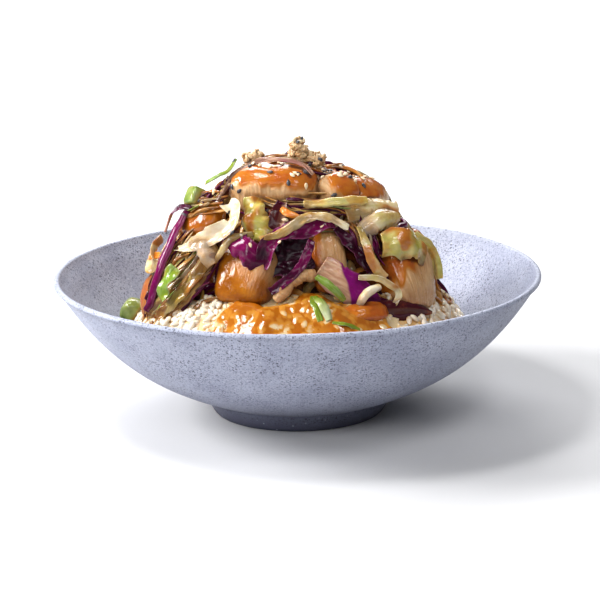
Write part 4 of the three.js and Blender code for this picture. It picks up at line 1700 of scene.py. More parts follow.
@dataclass(frozen=True)
class Strip:
    """A shred or leaf along a route of places on its bed, with sizes in mm.

    It narrows towards its ends by their shares, is rolled about its own line, curled across by its
    cup, and rippled at its edges. Tone is its colour at its start and end, edge how much its rims
    show and deep how dark it is. Fine is how strong its small unevenness is.
    """

    name: str
    route: Sequence[Triple]
    width: float
    thick: float
    ends: tuple[float, float] = (0.7, 0.7)
    roll: tuple[float, float] = (0, 0)
    cup: float = 0
    ripple: float = 0
    waves: float = 1.5
    bed: Bed = Bed.HEAP
    tone: tuple[float, float] = (1, 1)
    flesh: Flesh = Flesh.NOWHERE
    glaze: float = 0.2
    edge: float = 0.6
    fine: float = 0.5
    deep: float = 0.3

    def seed(self, part: int) -> int:
        """A seed from the name and from one number of the route's start."""
        return len(self.name) + int(abs(self.route[0][part]))

    def line(self, along: Points) -> Line:
        """The middle line, rolled and twisted.

        Args:
            along: The slab's points as shares along it.

        Returns:
            The line at those points.
        """
        places = [self.bed.place(where) for where in self.route]
        knots = np.array([place.point for place in places])
        outs = np.array([place.out for place in places])
        step = 0.002
        start, end = np.maximum(along - step, 0), np.minimum(along + step, 1)
        tangent = unit(curve(knots, end) - curve(knots, start))
        legs = len(knots) - 1
        leg = np.minimum((along * legs).astype(int), legs - 1)
        part = (along * legs - leg)[:, None]
        out = outs[leg] * (1 - part) + outs[leg + 1] * part
        out = unit(out - tangent * (out * tangent).sum(axis=1, keepdims=True))
        length = np.linalg.norm(np.diff(knots, axis=0), axis=1).sum()
        run = np.stack([along * length, along * 0, along * 0], axis=1)
        angle = self.roll[0] + (self.roll[1] - self.roll[0]) * along
        angle = angle + 30 * self.fine * noise(run, 10 * MM, self.seed(0) + 13)
        out = turned(out, tangent, np.radians(angle))
        return Line(curve(knots, along), np.cross(tangent, out), out, run)

    def half_width(self, along: Points, across: Points, run: Points) -> Points:
        """Half the width, narrowed towards the ends and ragged at the rims.

        Args:
            along: The points' shares along the strip.
            across: Where they are across it, from -1 to 1.
            run: How far along it they are, as rows.

        Returns:
            Half the width at each point, in mm.
        """
        seed = self.seed(0)
        near_start = self.ends[0] + (1 - self.ends[0]) * np.minimum(1, along * 4)
        near_end = self.ends[1] + (1 - self.ends[1]) * np.minimum(1, (1 - along) * 4)
        rims = run + np.sign(across)[:, None] * 40 * MM
        ragged = 1 + 0.24 * noise(rims, 6 * MM, seed)
        nicks = smooth(0.1, 0.8, noise(rims, 2.2 * MM, seed + 2))
        ragged -= 0.16 * nicks * np.abs(across) ** 3
        return 0.5 * self.width * np.minimum(near_start, near_end) * ragged

    def lift(self, along: Points, across: Points, run: Points) -> Points:
        """How far the strip's middle layer rises from its line.

        Args:
            along: The points' shares along the strip.
            across: Where they are across it, from -1 to 1.
            run: How far along it they are, as rows.

        Returns:
            The rise of each point, in mm.
        """
        seed, fine = self.seed(0), self.fine
        spots = run + np.stack([along * 0, across * self.width * 0.5 * MM, along * 0], axis=1)
        phase = np.where(across > 0, 1.0, 4.0)
        wave = self.ripple * np.abs(across) * np.sin(2 * math.pi * self.waves * along + phase)
        wave += fine * noise(spots, 4.5 * MM, seed + 3) * (0.5 + np.abs(across))
        wave += 0.5 * fine * noise(spots * np.array([0.35, 1, 1]), 1.7 * MM, seed + 5)
        wave += 1.4 * fine * noise(run, 12 * MM, seed + 9) * across**2
        return self.cup * across**2 + wave

    def bend(self, along: Points, across: Points, through: Points) -> Points:
        """Bends a slab along the route.

        Args:
            along: The slab's points as shares along it.
            across: Where they are across it, from -1 to 1.
            through: Where they are through it, from -0.5 to 0.5.

        Returns:
            The bent points.
        """
        line = self.line(along)
        sway = 1.6 * self.fine * noise(line.run, 9 * MM, self.seed(0) + 21)
        aside = across * self.half_width(along, across, line.run) + sway
        lift = self.lift(along, across, line.run)
        lift += through * self.thick * (0.95 - 0.6 * np.abs(across) ** 3)
        return line.point + line.side * (aside * MM)[:, None] + line.out * (lift * MM)[:, None]

    def add_to(self, batch: Batch, pattern: Pattern) -> None:
        """Adds the strip to a batch, bent from a slab.

        Args:
            batch: Where it goes.
            pattern: The slab.
        """
        along = np.clip(pattern.points[:, 0] + 0.5, 0, 1)
        across, through = pattern.points[:, 1], pattern.points[:, 2]
        points = self.bend(along, across, through)
        seed = self.seed(1)
        tone = self.tone[0] + (self.tone[1] - self.tone[0]) * along
        tone = tone * (1 - self.flesh.share(along, across))
        tone = np.clip(tone + 0.22 * layered(points, 5 * MM, seed), 0, 1)
        pools = layered(points, 8 * MM, seed + 9, 2)
        glaze = smooth(0.0, 0.5, pools + self.glaze * 1.6 - 0.55)
        edge = smooth(0.82, 0.99, np.abs(across)) * self.edge
        first, last = (self.bed.place(self.route[i]).point for i in (0, -1))
        length = float(np.linalg.norm(last - first)) * 1.1
        run = np.stack([along * length, across * self.width * 0.5 * MM, along * 0 + seed], axis=1)
        batch.add(pattern, points, tone=tone, glaze=glaze, edge=edge, run=run, deep=self.deep)

    def make(self, kitchen: Kitchen, finish: Finish, slot: Slot) -> None:
        """Makes the strip a piece of its own and dresses it.

        Args:
            kitchen: What the makers share.
            finish: What it is finished in.
            slot: The record's slot of that finish.
        """
        cells = LEAF_CELLS if self.width > LEAF_WIDTH else SHRED_CELLS
        batch = Batch(self.name + "_finished")
        self.add_to(batch, slab(*cells))
        kitchen.serve(batch.make(), finish, slot, self.name)


CHICKEN = (
    Chunk("chicken_top_slice", (-22, 65, -8), (43, 25, 24), (2, -28, 0), 2.6, seed=2,
          glaze_way=(0.15, -0.1, 1), glaze_from=0.42, tone=0.0, fibre=1.1, seared=0.3, fine=6),
    Chunk("chicken_top_right", (33, 60, -7), (19, 17, 21), (8, -15, 0), 3.2, seed=5,
          glaze_way=(0.8, -0.2, 0.6), glaze_from=0.5, tone=0.0, film=0.05),
    Chunk("chicken_fold_right", (69, 58, -8), (29, 18, 16), (-10, -8, 6), 2.6, seed=9,
          glaze_way=(0.1, -0.3, 1), glaze_from=0.6, tone=0.0, film=0.05),
    Chunk("chicken_upper_left", (-66, 47, -4), (27, 19, 13), (20, 0, 0), 2.8, seed=4,
          glaze_from=-0.9, tone=0.8, film=0.8),
    Chunk("chicken_front_left", (-21, 30, -7), (29, 30, 22), (-4, -6, -14), 4.2, seed=7,
          glaze_way=(-0.8, 0, -0.5), glaze_from=0.4, tone=1.1, tone_fall=1,
          seared=1, fibre=0.25, film=0.2),
    Chunk("chicken_centre", (14, 35, -6), (18, 32, 16), (6, 0, 0), 3, seed=3,
          glaze_way=(-0.9, 0, -0.1), glaze_from=0.15, tone=0.1, fibre=0.4, film=0.25),
    Chunk("chicken_right", (52, 25, -6), (30, 33, 23), (-6, 0, 8), 3.4, seed=6,
          glaze_way=(-0.4, -0.1, 0.9), glaze_from=0.4, tone=0.15, fibre=0.5, film=0.12, fine=6),
    Chunk("chicken_under_sauce", (30, 64, 0), (24, 12, 9), (-6, 0, 0), 2.4, seed=8, bed=Bed.RICE,
          glaze_from=1, tone=0.3, film=1, rough=0.16),
    Chunk("chicken_lower_left", (-74, 16, -3), (20, 22, 12), (25, 0, 0), 2.8, seed=11,
          glaze_from=-0.3, tone=0.7, film=0.5),
    Chunk("chicken_back_high", (165, 55, -5), (36, 22, 16), (-12, -10, 0), 3, seed=12,
          glaze_from=0.1, tone=0.2, fibre=0.8),
    Chunk("chicken_back_left", (236, 30, -8), (32, 24, 17), (16, 0, 0), 4.4, seed=13,
          glaze_way=(-0.5, 0, 0.9), glaze_from=0.5, tone=0.2, fibre=0.6, film=0.1),
    Chunk("chicken_back_right", (124, 26, -8), (32, 23, 17), (-20, 0, 0), 4.4, seed=14,
          glaze_way=(0.5, 0, 0.9), glaze_from=0.5, tone=0.2, fibre=0.6, film=0.1),
    Strip("chicken_strip_front", [(-8, 21, 3), (-4, 26, 5), (1, 29, 5), (7, 30, 3)], 7, 5.5,
          ends=(0.6, 0.8), cup=-0.6, tone=(-0.3, -0.2), glaze=0.06, edge=0, fine=0.12),
)

RED_CABBAGE = (
    Strip("red_cabbage_stem",
          [(-72, 47, 4), (-66, 39, 6), (-62, 28, 7), (-63, 17, 6), (-65, 10, 5)],
          5.4, 2.4, cup=-0.9, tone=(0.75, 1), glaze=0, edge=0.9, deep=0.08),
    Strip("red_cabbage_rim_shred", [(-68, 48, 4), (-80, 47, 6), (-94, 43, 5), (-92, 37, 3)], 4,
          1.3, flesh=Flesh.END, glaze=0.1),
    Strip("red_cabbage_arc", [(-51, 53, 3), (-53, 59, 3), (-54, 64, 3.5), (-44, 70, 4),
                              (-22, 72, 4.5), (4, 70, 4.5), (14, 65, 4)],
          2.6, 1.4, tone=(0.1, 0.35), glaze=0, edge=0.2, deep=0),
    Strip("red_cabbage_lobe", [(-31, 40, 4), (-21, 37, 8), (-11, 33, 5)],
          12, 1.3, cup=-2.4, ripple=1, glaze=0, deep=0.2),
    Strip("red_cabbage_band", [(-14, 32, 5), (-12, 39, 8), (-5, 43, 8), (6, 45, 7), (18, 46, 5)],
          9, 1.3, cup=1.6, ripple=1.2, waves=2.5, glaze=0, deep=0.3, fine=0.7),
    # A dark cavity: its deep darkness is painted shade.
    Strip("red_cabbage_hollow", [(-16, 36, 0), (-5, 35, -2), (7, 37, 0)],
          22, 1.3, cup=3.5, ripple=1, glaze=0, edge=0.8, deep=0.75, fine=0.8),
    Strip("red_cabbage_diagonal", [(-10, 24, 5), (-4, 28, 7), (2, 33, 7), (6, 41, 5)],
          5, 1.6, cup=0.8, glaze=0, deep=0.35),
    Strip("red_cabbage_leaf_right", [(9, 32, 5), (19, 25, 6), (29, 17, 5)], 17, 2, cup=-1.2,
          roll=(8, -6), ends=(0.75, 0.6), flesh=Flesh.START, glaze=0, deep=-0.1),
    Strip("red_cabbage_dark_right", [(19, 45, 2), (25, 37, 3), (29, 32, 3), (36, 25, 2)],
          6, 1.4, ripple=1, waves=3, glaze=0.2, deep=0.45),
    Strip("red_cabbage_wedge", [(21, 17, 4), (36, 14, 6), (52, 10, 5)], 10, 4, cup=-1,
          ends=(0.8, 0.25), flesh=Flesh.MIDDLE, glaze=1, deep=0.1),
    Strip("red_cabbage_middle", [(-8, 55, 1), (-10, 49, 3), (-11, 43, 2)],
          7, 1.4, cup=1.4, flesh=Flesh.LEFT, glaze=0.2),
    Strip("red_cabbage_back_leaf", [(188, 44, -2), (182, 32, 1), (188, 18, -1)],
          20, 1.4, cup=-3, ripple=1.6, flesh=Flesh.MIDDLE, glaze=0.2),
    Strip("red_cabbage_back_stem", [(134, 54, -2), (140, 42, 0), (134, 28, 0), (138, 16, 0)],
          6, 2.2, cup=-0.6, flesh=Flesh.EDGES, glaze=0.15),
)

PALE_CABBAGE = (
    Strip("pale_cabbage_leaf_left",
          [(-57, 35, 5), (-47, 38, 6), (-38, 41, 7), (-31, 45, 7), (-33, 50, 6), (-40, 52, 5)], 9,
          1.4, cup=1.6, ripple=1.6, ends=(0.35, 0.7), tone=(0.15, -0.1), glaze=0.05, fine=0.8),
    Strip("pale_cabbage_fold_left", [(-50, 38, 4), (-42, 37, 8), (-35, 32, 5)],
          9, 1.4, cup=-2.4, ripple=0.8, tone=(0, -0.1), glaze=0.1, fine=0.8),
    Strip("pale_cabbage_shred_left", [(-36, 33, 4), (-30, 40, 6), (-20, 43, 5)],
          4, 1.3, roll=(0, 30), tone=(0.4, 0.8), glaze=0.35),
    Strip("pale_cabbage_shred_long",
          [(-15, 40, 9), (-6, 43, 11), (4, 47, 10.5), (14, 47, 9), (24, 44, 7)], 4.6, 1.7,
          roll=(20, -20), tone=(0.8, 0.15), glaze=0.1, fine=0.7),
    Strip("pale_cabbage_shred_right", [(30, 44, 5), (29, 37, 7), (31, 31, 7), (35, 27, 6)], 4.8, 2,
          roll=(-10, 20), tone=(0.9, 0.4), glaze=0.3, fine=0.7),
    Strip("pale_cabbage_wedge_right", [(31, 43, 3), (43, 45, 5), (57, 45, 4)], 10, 5, cup=-2,
          ends=(0.6, 0.7), tone=(0.1, 0.8), glaze=0.2),
    Strip("pale_cabbage_glazed_right", [(27, 50, 2), (44, 50, 3), (63, 47, 3)], 12, 1.8, cup=-1.4,
          ripple=1, ends=(0.8, 0.9), tone=(0.6, 0.2), glaze=0.45),
    Strip("pale_cabbage_band", [(4, 53, 4), (21, 53, 6), (41, 52, 6)], 5, 2.6, tone=(0.6, 0.9),
          glaze=0.1),
    Strip("pale_cabbage_chunk_middle", [(-27, 56, 3), (-21, 48, 5), (-13, 42, 3)],
          13, 1.6, cup=-2, ripple=1.8, waves=2.4, tone=(0.9, 1), glaze=0.3, fine=0.8),
    Strip("pale_cabbage_on_chicken", [(60, 32, 7), (49, 36, 10), (37, 37, 8)],
          16, 2, cup=-2.5, ripple=1.5, waves=2, tone=(1, 0.8), glaze=0.42),
    Strip("pale_cabbage_hook", [(23, 28, 7), (31, 26, 10), (37, 21, 9), (35, 16, 6)],
          3.2, 1.6, roll=(0, 40), cup=0.8, tone=(0.3, 0.4), glaze=0.35, fine=0.8),
    Strip("pale_cabbage_stub", [(21, 16, 7), (24, 22, 11), (30, 24, 9)],
          4.6, 3.6, cup=-0.6, tone=(0, 0), glaze=0.1),
    Strip("pale_cabbage_bundle_outer", [(-37, 35, 4), (-43, 26, 6), (-49, 17, 5), (-57, 7, 4)],
          6, 1.8, cup=0.8, ripple=0.8, tone=(0.8, 0.9), glaze=0.35, fine=0.8),
    Strip("pale_cabbage_bundle_inner", [(-46, 36, 2), (-52, 28, 3), (-58, 18, 4), (-64, 8, 3)],
          6, 1.8, cup=-0.8, tone=(0.3, 0.7), glaze=0.4, fine=0.8),
    Strip("pale_cabbage_curl_left", [(-94, 34, 2), (-84, 31, 4), (-75, 27, 3), (-67, 28, 2)],
          8, 1.3, cup=2.2, tone=(0.3, 0.6), glaze=0.35),
    Strip("pale_cabbage_edge_right", [(66, 39, 2), (69, 34, 3), (69, 28, 3), (67, 22, 2)],
          6, 1.2, roll=(40, 20), cup=1, tone=(0.7, 0.9), glaze=0),
    Strip("pale_cabbage_back_leaf", [(160, 36, -2), (154, 26, 1), (158, 12, 0)],
          18, 1.6, cup=-2.6, ripple=1.5, tone=(0.2, 0.8), glaze=0.2),
    Strip("pale_cabbage_back_shred", [(206, 64, -2), (204, 52, 0), (206, 38, 0), (212, 24, -1)],
          6, 1.8, roll=(0, 30), tone=(0.4, 0.2), glaze=0.2),
)

GREENS = (
    Strip("spring_onion_sprig", [(-71, 57, 6), (-62, 60, 7), (-56, 63, 7), (-60, 68, 7)],
          2.6, 1.1, ends=(0.8, 0.5), glaze=0),
    Strip("green_leaf_left", [(-51, 29, 8), (-53, 23, 10), (-53, 17, 8)],
          8, 1.2, cup=1.2, ripple=1.2, glaze=0.3, tone=(1, 1)),
    Strip("spring_onion_strip_front", [(7, 29, 10), (12, 25, 11), (16, 20, 9)], 4.2, 1.2, cup=-0.6,
          glaze=0),
    Strip("spring_onion_low_dark", [(7, 54, 3), (8, 60, 4), (9, 67, 2.5)], 4, 1.2, cup=-0.5,
          bed=Bed.RICE, glaze=0),
    Strip("spring_onion_low_light", [(9, 55, 4), (10.5, 61, 6), (12, 68, 3.5)], 5, 1.3, cup=-0.8,
          bed=Bed.RICE, tone=(1, 0.5), glaze=0),
    Strip("spring_onion_low_thin", [(13, 69, 3), (18, 71, 4), (23, 72, 3)], 2.4, 1.1, bed=Bed.RICE,
          glaze=0),
)

GREEN_CHUNKS = (
    Chunk("green_stem_dice", (-74, 52, 4), (9.5, 9.5, 8), (20, 10, 0), 6, 0.05, seed=3,
          glaze_from=1.4, tone=1, seared=0, fibre=0.1, fine=4),
    Chunk("green_stem_far_left", (-98, 80, 4), (15, 13, 12), (0, 0, 0), 2.6, 0.1, seed=5,
          bed=Bed.RICE, glaze_from=1.4, tone=1, seared=0, fibre=0.2, fine=4),
)

CARROT = (
    Strip("carrot_shred_middle", [(-8, 52, 4), (-4, 50, 5), (1, 49, 4)], 3.4, 1.8, glaze=0),
    Strip("carrot_shred_left", [(-96, 30, 3), (-84, 29, 4), (-72, 32, 2)], 4, 1.8, glaze=0),
)


@dataclass(frozen=True)
class Course:
    """The separate pieces of one food, with the finish and the slot that they share."""

    pieces: Sequence[Chunk | Strip]
    finish: Finish
    slot: Slot

    def make(self, kitchen: Kitchen) -> None:
        """Makes each piece."""
        for piece in self.pieces:
            piece.make(kitchen, self.finish, self.slot)


COURSES = (
    Course(CHICKEN, GlazedChicken(), Slot.GLAZED_CHICKEN),
    Course(RED_CABBAGE, RedCabbage(), Slot.RED_CABBAGE),
    Course(PALE_CABBAGE, PaleCabbage(), Slot.PALE_CABBAGE),
    Course(GREENS, GreenOnion(), Slot.GREEN_ONION),
    Course(GREEN_CHUNKS, GREEN_STEM, Slot.GREEN_ONION),
    Course(CARROT, Carrot(), Slot.CARROT),
)


@dataclass(frozen=True)
class CrumbPile:
    """A pile of crisp crumbs of all sizes, as wide and high as its node."""

    node: str
    seed: int
    crumbs: int
    sizes: tuple[float, float] = (1.6, 4.6)

    @staticmethod
    def shards() -> list[Pattern]:
        """Models crumbs of three shapes, broken and pitted.

        Returns:
            The crumbs, of a size of about 1.
        """
        shards = [copy(ball(3)) for _ in range(3)]
        for seed, shard in enumerate(shards):
            d = unit(shard.points)
            shard.points = d * (1 + 0.55 * layered(d, 0.55, seed))[:, None]
        return shards

    def make(self, kitchen: Kitchen, shards: Sequence[Pattern]) -> None:
        """Heaps crumbs through the node's box.

        Args:
            kitchen: What the makers share.
            shards: Crumbs of several shapes.
        """
        draw = np.random.default_rng(self.seed)
        low, high = (np.array(corner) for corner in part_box(self.node))
        middle, half = (low + high) / 2, (high - low) / 2
        batch = Batch(self.node + "_finished")
        for _ in range(self.crumbs):
            way = unit(draw.normal(size=3))
            reach = draw.random() ** 0.4 * 0.86
            place = middle + way * half * reach
            size = draw.uniform(*self.sizes) * MM * (1.15 - 0.4 * reach)
            along, out = unit(draw.normal(size=3)), unit(draw.normal(size=3))
            shard = shards[draw.integers(len(shards))]
            stretch = (size * 1.3, size * draw.uniform(0.6, 1), size * draw.uniform(0.35, 0.8))
            points = grain_copy(shard.points * 0.5, place, along, out, stretch)
            batch.add(shard, points, tone=draw.random())
        kitchen.serve(batch.make(), CrispCrumb(), Slot.CRISP_CRUMBS, self.node)


CRUMB_PILES = (
    CrumbPile("crisp_crumb_peak", 7, 90),
    CrumbPile("crisp_crumb_left", 9, 45),
    CrumbPile("crisp_crumb_right", 4, 45),
)


def squeezed(latitude: float) -> float:
    """How short a degree of bearing is at a latitude, beside a degree of latitude."""
    return max(math.cos(math.radians(latitude)), 0.3)


@dataclass(frozen=True)
class Bundle:
    """Fine shreds that lie side by side along a route of places on the heap.

    Spread is how far they stray from it, in degrees, and strands is how many of them are pale,
    glazed, red and green.
    """

    route: Sequence[Triple]
    spread: float
    strands: tuple[int, int, int, int]

    def strand(self, draw: np.random.Generator) -> list[Triple]:
        """Draws the route of one strand.

        Args:
            draw: The draw of its place.

        Returns:
            Four places on the heap.
        """
        knots = np.array(self.route, float)
        shares = np.linspace(0, 1, len(knots))
        aside, lean = draw.normal() * self.spread, draw.normal() * 0.7 * self.spread
        route = []
        for share in np.linspace(draw.uniform(-0.05, 0.4), draw.uniform(0.6, 1.05), 4):
            here, ahead = (np.array([np.interp(at, shares, column) for column in knots.T])
                           for at in (share, share + 0.05))
            squeeze = squeezed(here[1])
            way = unit(np.array([(ahead[0] - here[0]) * squeeze, ahead[1] - here[1]]) + 1e-6)
            stray = aside + lean * (share - 0.5) + draw.normal() * 0.15 * self.spread
            bearing = here[0] - way[1] * stray / squeeze
            lift = here[2] + draw.normal() * 0.7 - 1.2 * (stray / self.spread / 2) ** 2
            route.append((bearing, float(np.clip(here[1] + way[0] * stray, 1, 86)), lift))
        return route


BUNDLES = (
    Bundle([(-40, 38, 2), (-44, 30, 3.5), (-49, 23, 4), (-55, 15, 3.5), (-63, 5, 3)], 4,
           (14, 18, 7, 4)),
    Bundle([(-60, 46, 1), (-66, 36, 2.5), (-68, 27, 3), (-68, 18, 3), (-72, 8, 2)], 5,
           (6, 16, 4, 0)),
    Bundle([(-86, 48, 2), (-72, 50, 3.5), (-58, 53, 4), (-46, 56, 2)], 3, (3, 11, 3, 1)),
    Bundle([(-62, 57, 1), (-57, 61, 2.5), (-54, 66, 2)], 2.5, (1, 2, 7, 0)),
    Bundle([(-60, 72, 0), (-30, 77, -0.5), (6, 76, -0.5), (36, 68, -1)], 4, (7, 14, 6, 1)),
    Bundle([(-32, 54, 0), (-12, 51, 1), (4, 50, 1.5), (20, 50, 1.5), (34, 47, 1)], 4,
           (7, 12, 12, 2)),
    Bundle([(28, 50, 1), (31, 42, 2.5), (32, 34, 3), (34, 26, 2.5)], 3.5, (3, 5, 9, 1)),
    Bundle([(72, 42, -7), (71, 33, -4.5), (69, 26, -3), (66, 16, -2)], 4, (6, 9, 2, 2)),
    Bundle([(24, 20, 0), (34, 14, 1), (48, 8, 0)], 3, (1, 5, 5, 0)),
    Bundle([(150, 62, -2), (158, 48, 0), (168, 34, 1), (170, 16, 0)], 7, (10, 16, 8, 3)),
    Bundle([(106, 54, -7), (106, 38, -5), (108, 20, -3)], 6, (8, 12, 6, 2)),
    Bundle([(252, 54, -7), (256, 38, -5), (252, 20, -3)], 6, (8, 12, 6, 2)),
)


@dataclass(frozen=True)
class ShredKind:
    """One kind of fine shred: how many there are, and their least and greatest width and tone."""

    name: str
    count: int
    widths: tuple[float, float]
    tones: tuple[float, float]
    glaze: float
    finish: Finish
    slot: Slot


SHRED_KINDS = (
    ShredKind("pale_shreds", 130, (1.6, 5.5), (0.1, 1.0), 0.3, PaleCabbage(), Slot.PALE_CABBAGE),
    ShredKind("glazed_shreds", 210, (1.4, 4.5), (0.1, 0.9), 0.6, GlazedShred(), Slot.STIR_FRY),
    ShredKind("red_shreds", 90, (1.4, 6.0), (0.5, 1.0), 0.15, RedCabbage(), Slot.RED_CABBAGE),
    ShredKind("green_shreds", 30, (1.2, 3.0), (0.7, 1.0), 0.0, GreenOnion(), Slot.GREEN_ONION),
)


@dataclass
class VegetableHeap:
    """The heap's dark core and the shreds that show between the larger pieces."""

    core_lift: float = -8 * MM
    core_lump: float = 6 * MM
    core_rough: float = 1.6 * MM
    shred_edge: float = 0.2

    def make(self, kitchen: Kitchen) -> None:
        """Makes the core and the four kinds of shred.

        Args:
            kitchen: What the makers share.
        """
        kitchen.serve(self.core(), StirFry(), Slot.STIR_FRY, "vegetable_heap")
        for seed, kind in enumerate(SHRED_KINDS):
            kitchen.serve(self.shreds(kind, seed), kind.finish, kind.slot)

    def core(self) -> bpy.types.Object:
        """Shapes the core from a ball as a rough dome.

        Returns:
            The core's object.
        """
        pattern = ball(6)
        d = unit(pattern.points)
        latitude = np.maximum(np.degrees(np.arcsin(np.clip(d[:, 2], -1, 1))), -6)
        bearing = np.degrees(np.arctan2(d[:, 0], -d[:, 1]))
        place = HEAP.place(bearing, np.minimum(latitude, 89), self.core_lift)
        points = place.point
        points += place.out * (layered(points, self.core_lump, 4) * self.core_rough)[:, None]
        below = d[:, 2] < -0.1
        points[below, :2] *= (1 + (d[below, 2] + 0.1))[:, None]
        batch = Batch("vegetable_core")
        batch.add(pattern, points, tone=0.5)
        return batch.make()

    def fallen(self, draw: np.random.Generator, bearing: float) -> list[Triple]:
        """Draws the route of one shred that lies as it fell.

        Args:
            draw: The draw of its place.
            bearing: The bearing of its middle.

        Returns:
            Four places on the heap.
        """
        latitude = 4 + 66 * draw.random() ** 1.25
        lift = draw.uniform(-8, -3) + 2 * abs(math.sin(math.radians(bearing / 2))) ** 4
        turn = draw.uniform(-1, 1) * math.pi
        reach = draw.uniform(5, 13)
        route = []
        for part in (-1, -0.4, 0.3, 1):
            bend = turn + draw.uniform(-0.45, 0.45)
            route.append((
                bearing + part * reach * math.cos(bend) / squeezed(latitude),
                min(latitude + part * reach * math.sin(bend), 84),
                lift - 3.0 * part * part + draw.uniform(-1, 1),
            ))
        return route

    def shreds(self, kind: ShredKind, seed: int) -> bpy.types.Object:
        """Lays the shreds of one kind, tangled round the heap and side by side in bundles.

        Args:
            kind: The kind of shred.
            seed: Its number, which seeds its draw.

        Returns:
            The shreds as one object.
        """
        draw = np.random.default_rng(40 + seed)
        pattern = slab(*FINE_CELLS)
        batch = Batch(kind.name)
        for i in range(kind.count):
            route = self.fallen(draw, GOLDEN_TURN * i + 97 * seed)
            width = draw.uniform(*kind.widths)
            roll = draw.uniform(-50, 50)
            tone = draw.uniform(*kind.tones)
            strip = Strip(f"{kind.name}{i % 9}", route, width, draw.uniform(1.0, 1.9), (0.6, 0.6),
                          (roll, roll + draw.uniform(-40, 40)), draw.uniform(-0.8, 0.8),
                          tone=(tone, draw.uniform(*kind.tones)), glaze=kind.glaze, fine=0.5,
                          edge=self.shred_edge)
            strip.add_to(batch, pattern)
        for bundle in BUNDLES:
            for i in range(bundle.strands[seed]):
                roll = draw.uniform(-60, 60)
                strip = Strip(f"{kind.name}{i % 9}", bundle.strand(draw), draw.uniform(0.9, 2.4),
                              draw.uniform(0.8, 1.4), (0.4, 0.4),
                              (roll, roll + draw.uniform(-60, 60)),
                              tone=(draw.uniform(*kind.tones), draw.uniform(*kind.tones)),
                              glaze=kind.glaze, fine=0.45, edge=self.shred_edge)
                strip.add_to(batch, pattern)
        return batch.make()


@dataclass
class Sesame:
    """White and black sesame seeds that lie where they fell.

    Each falls onto the heap from the drop's height over it, and is left out past the reach.
    """

    length: float = 3.3 * MM
    width: float = 2.0 * MM
    height: float = 1.1 * MM
    white: int = 160
    black: int = 95
    drop: float = 30 * MM
    reach: float = 60 * MM

    def pattern(self) -> Pattern:
        """Models one seed.

        Returns:
            The seed, rounded at one end and pointed at the other.
        """
        seed = globe(10, 10)
        x, y, z = seed.points.T
        taper = 1 - 0.42 * smooth(-0.2, 1.0, z)
        seed.points = np.stack([z, x * taper, y * taper], axis=1) * 0.5
        return seed

    def make(self, kitchen: Kitchen) -> None:
        """Drops the seeds onto the pieces, most of them near the top.

        Args:
            kitchen: What the makers share.
        """
        carriers = list(kitchen.pieces)
        pattern = self.pattern()
        for finish, count, seed in ((WHITE_SESAME, self.white, 5), (BLACK_SESAME, self.black, 6)):
            draw = np.random.default_rng(seed)
            batch = Batch(finish.name)
            for i in range(count):
                bearing = GOLDEN_TURN * i + 50 * seed
                latitude = 38 + 49 * draw.random() ** 0.45
                self.lay(batch, pattern, carriers, draw, HEAP.place(bearing, latitude, self.drop))
            kitchen.serve(batch.make(), finish, Slot.CRISP_CRUMBS)

    def lay(self, batch: Batch, pattern: Pattern, carriers: Sequence[bpy.types.Object],
            draw: np.random.Generator, place: Place) -> None:
        """Lays one seed on the outermost piece under a place.

        Args:
            batch: Where the seed goes.
            pattern: The seed.
            carriers: The pieces that may carry it.
            draw: The draw of its turn.
            place: Where it falls from.
        """
        start = Vector(place.point)
        fall = Vector(unit(-place.out + np.array([0, 0, -0.8])))
        found = []
        for carrier in carriers:
            hit, spot, normal, _ = carrier.ray_cast(start, fall)
            if hit:
                found.append(((spot - start).length, np.array(spot), np.array(normal)))
        if not found:
            return
        fallen, spot, normal = min(found, key=lambda one: one[0])
        if fallen > self.reach:
            return
        along = unit(np.cross(normal, draw.normal(size=3)) + normal * draw.normal() * 0.15)
        size = (self.length, self.width, self.height)
        middle = spot + normal * self.height * 0.35
        batch.add(pattern, grain_copy(pattern.points, middle, along, normal, size))


@dataclass(frozen=True)
class Lamp:
    """A soft light: its place, its width and height, its power in watts and what it faces."""

    name: str
    at: Triple
    size: tuple[float, float]
    power: float
    aim: Triple = (0, 0, 70 * MM)

    def hang(self) -> None:
        """Hangs the light."""
        lamp = Bench.add(self.name, bpy.ops.object.light_add, type="AREA", location=self.at)
        lamp.data.shape = "RECTANGLE"
        lamp.data.size, lamp.data.size_y = self.size
        lamp.data.energy = self.power
        way = Vector(self.aim) - Vector(self.at)
        lamp.rotation_euler = way.to_track_quat("-Z", "Y").to_euler()


LAMPS = (
    Lamp("key_left", (-1.35, 0.15, 0.85), (0.6, 0.6), 38),
    Lamp("back_top", (-0.1, 1.15, 1.15), (0.8, 0.3), 10),
    Lamp("front_fill", (-1.15, -1.2, 0.75), (0.5, 0.5), 10),
    Lamp("overhead", (-0.5, -0.1, 1.35), (0.32, 0.32), 9),
    Lamp("front_right", (0.55, -0.8, 1.4), (0.35, 0.35), 5),
    Lamp("floor_front", (0, -2.7, 1.8), (2.6, 1.2), 40, (0, -2.7, 0)),
    Lamp("floor_back", (0, 2.3, 1.6), (2.6, 1.2), 60, (0, 2.3, 0)),
)


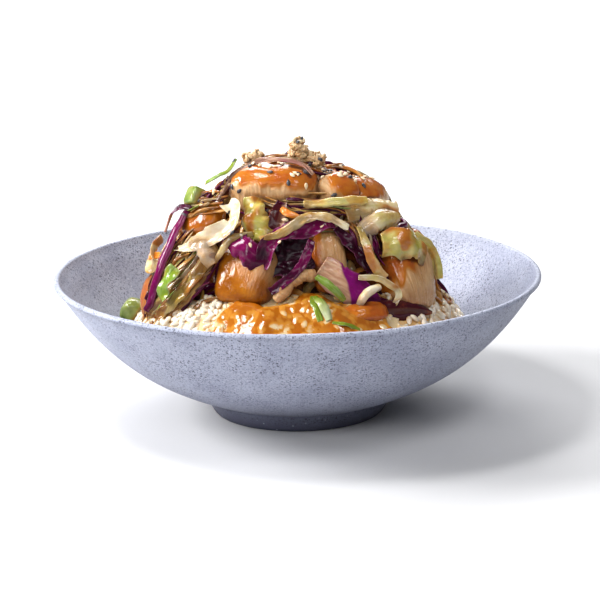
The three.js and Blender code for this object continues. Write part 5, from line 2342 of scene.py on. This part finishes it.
@dataclass
class Studio:
    """A pale floor, soft lights with the strongest on the piece at its left, and the camera."""

    target: Triple = (0, 0, 70 * MM)
    distance: float = 1.2
    elevation: float = 13.8
    roll: float = -0.85
    lens: float = 145.8
    shift: tuple[float, float] = (0.0045, -0.0483)
    floor_size: float = 12
    floor_colours: tuple[Colour, Colour] = ((0.62, 0.62, 0.63), (0.64, 0.64, 0.65))
    sky: Colour = (0.93, 0.95, 1)
    sky_strength: float = 0.15

    def floor(self) -> None:
        """Lays the floor."""
        floor = Bench.add("floor", bpy.ops.mesh.primitive_plane_add, size=self.floor_size)
        graph = Graph("floor")
        base = graph.mix(graph.cloud(0.6), *self.floor_colours)
        floor.data.materials.append(graph.finish(base, 0.9))

    def camera(self) -> None:
        """Sets the camera at the photograph's angle."""
        up = math.radians(self.elevation)
        target = Vector(self.target)
        at = target + self.distance * Vector((0, -math.cos(up), math.sin(up)))
        camera = Bench.add("camera", bpy.ops.object.camera_add, location=at)
        look = (target - at).to_track_quat("-Z", "Y").to_matrix()
        turn = look @ Matrix.Rotation(math.radians(self.roll), 3, "Z")
        camera.rotation_euler = turn.to_euler()
        camera.data.lens = self.lens
        camera.data.shift_x, camera.data.shift_y = self.shift
        bpy.context.scene.camera = camera

    def make(self) -> None:
        """Sets up the whole studio."""
        self.floor()
        for lamp in LAMPS:
            lamp.hang()
        self.camera()
        world = bpy.data.worlds.new("studio")
        world.use_nodes = True
        sky = world.node_tree.nodes["Background"].inputs
        sky["Color"].default_value = (*self.sky, 1)
        sky["Strength"].default_value = self.sky_strength
        bpy.context.scene.world = world
        bpy.context.scene.view_settings.view_transform = "Standard"


def main() -> None:
    """Builds the bowl, the food and the studio in order."""
    logging.basicConfig(level=logging.INFO, format="%(message)s")
    kitchen = Kitchen()
    Studio().make()
    Bowl().make(kitchen)
    RiceBed().make(kitchen)
    VegetableHeap().make(kitchen)
    for course in COURSES:
        course.make(kitchen)
    shards = CrumbPile.shards()
    for pile in CRUMB_PILES:
        pile.make(kitchen, shards)
    food = kitchen.pieces[1:]
    # Paints the sauce that pools between pieces and the painted shade there.
    Crowding().paint(food)
    Sesame().make(kitchen)


if __name__ == "__main__":
    main()
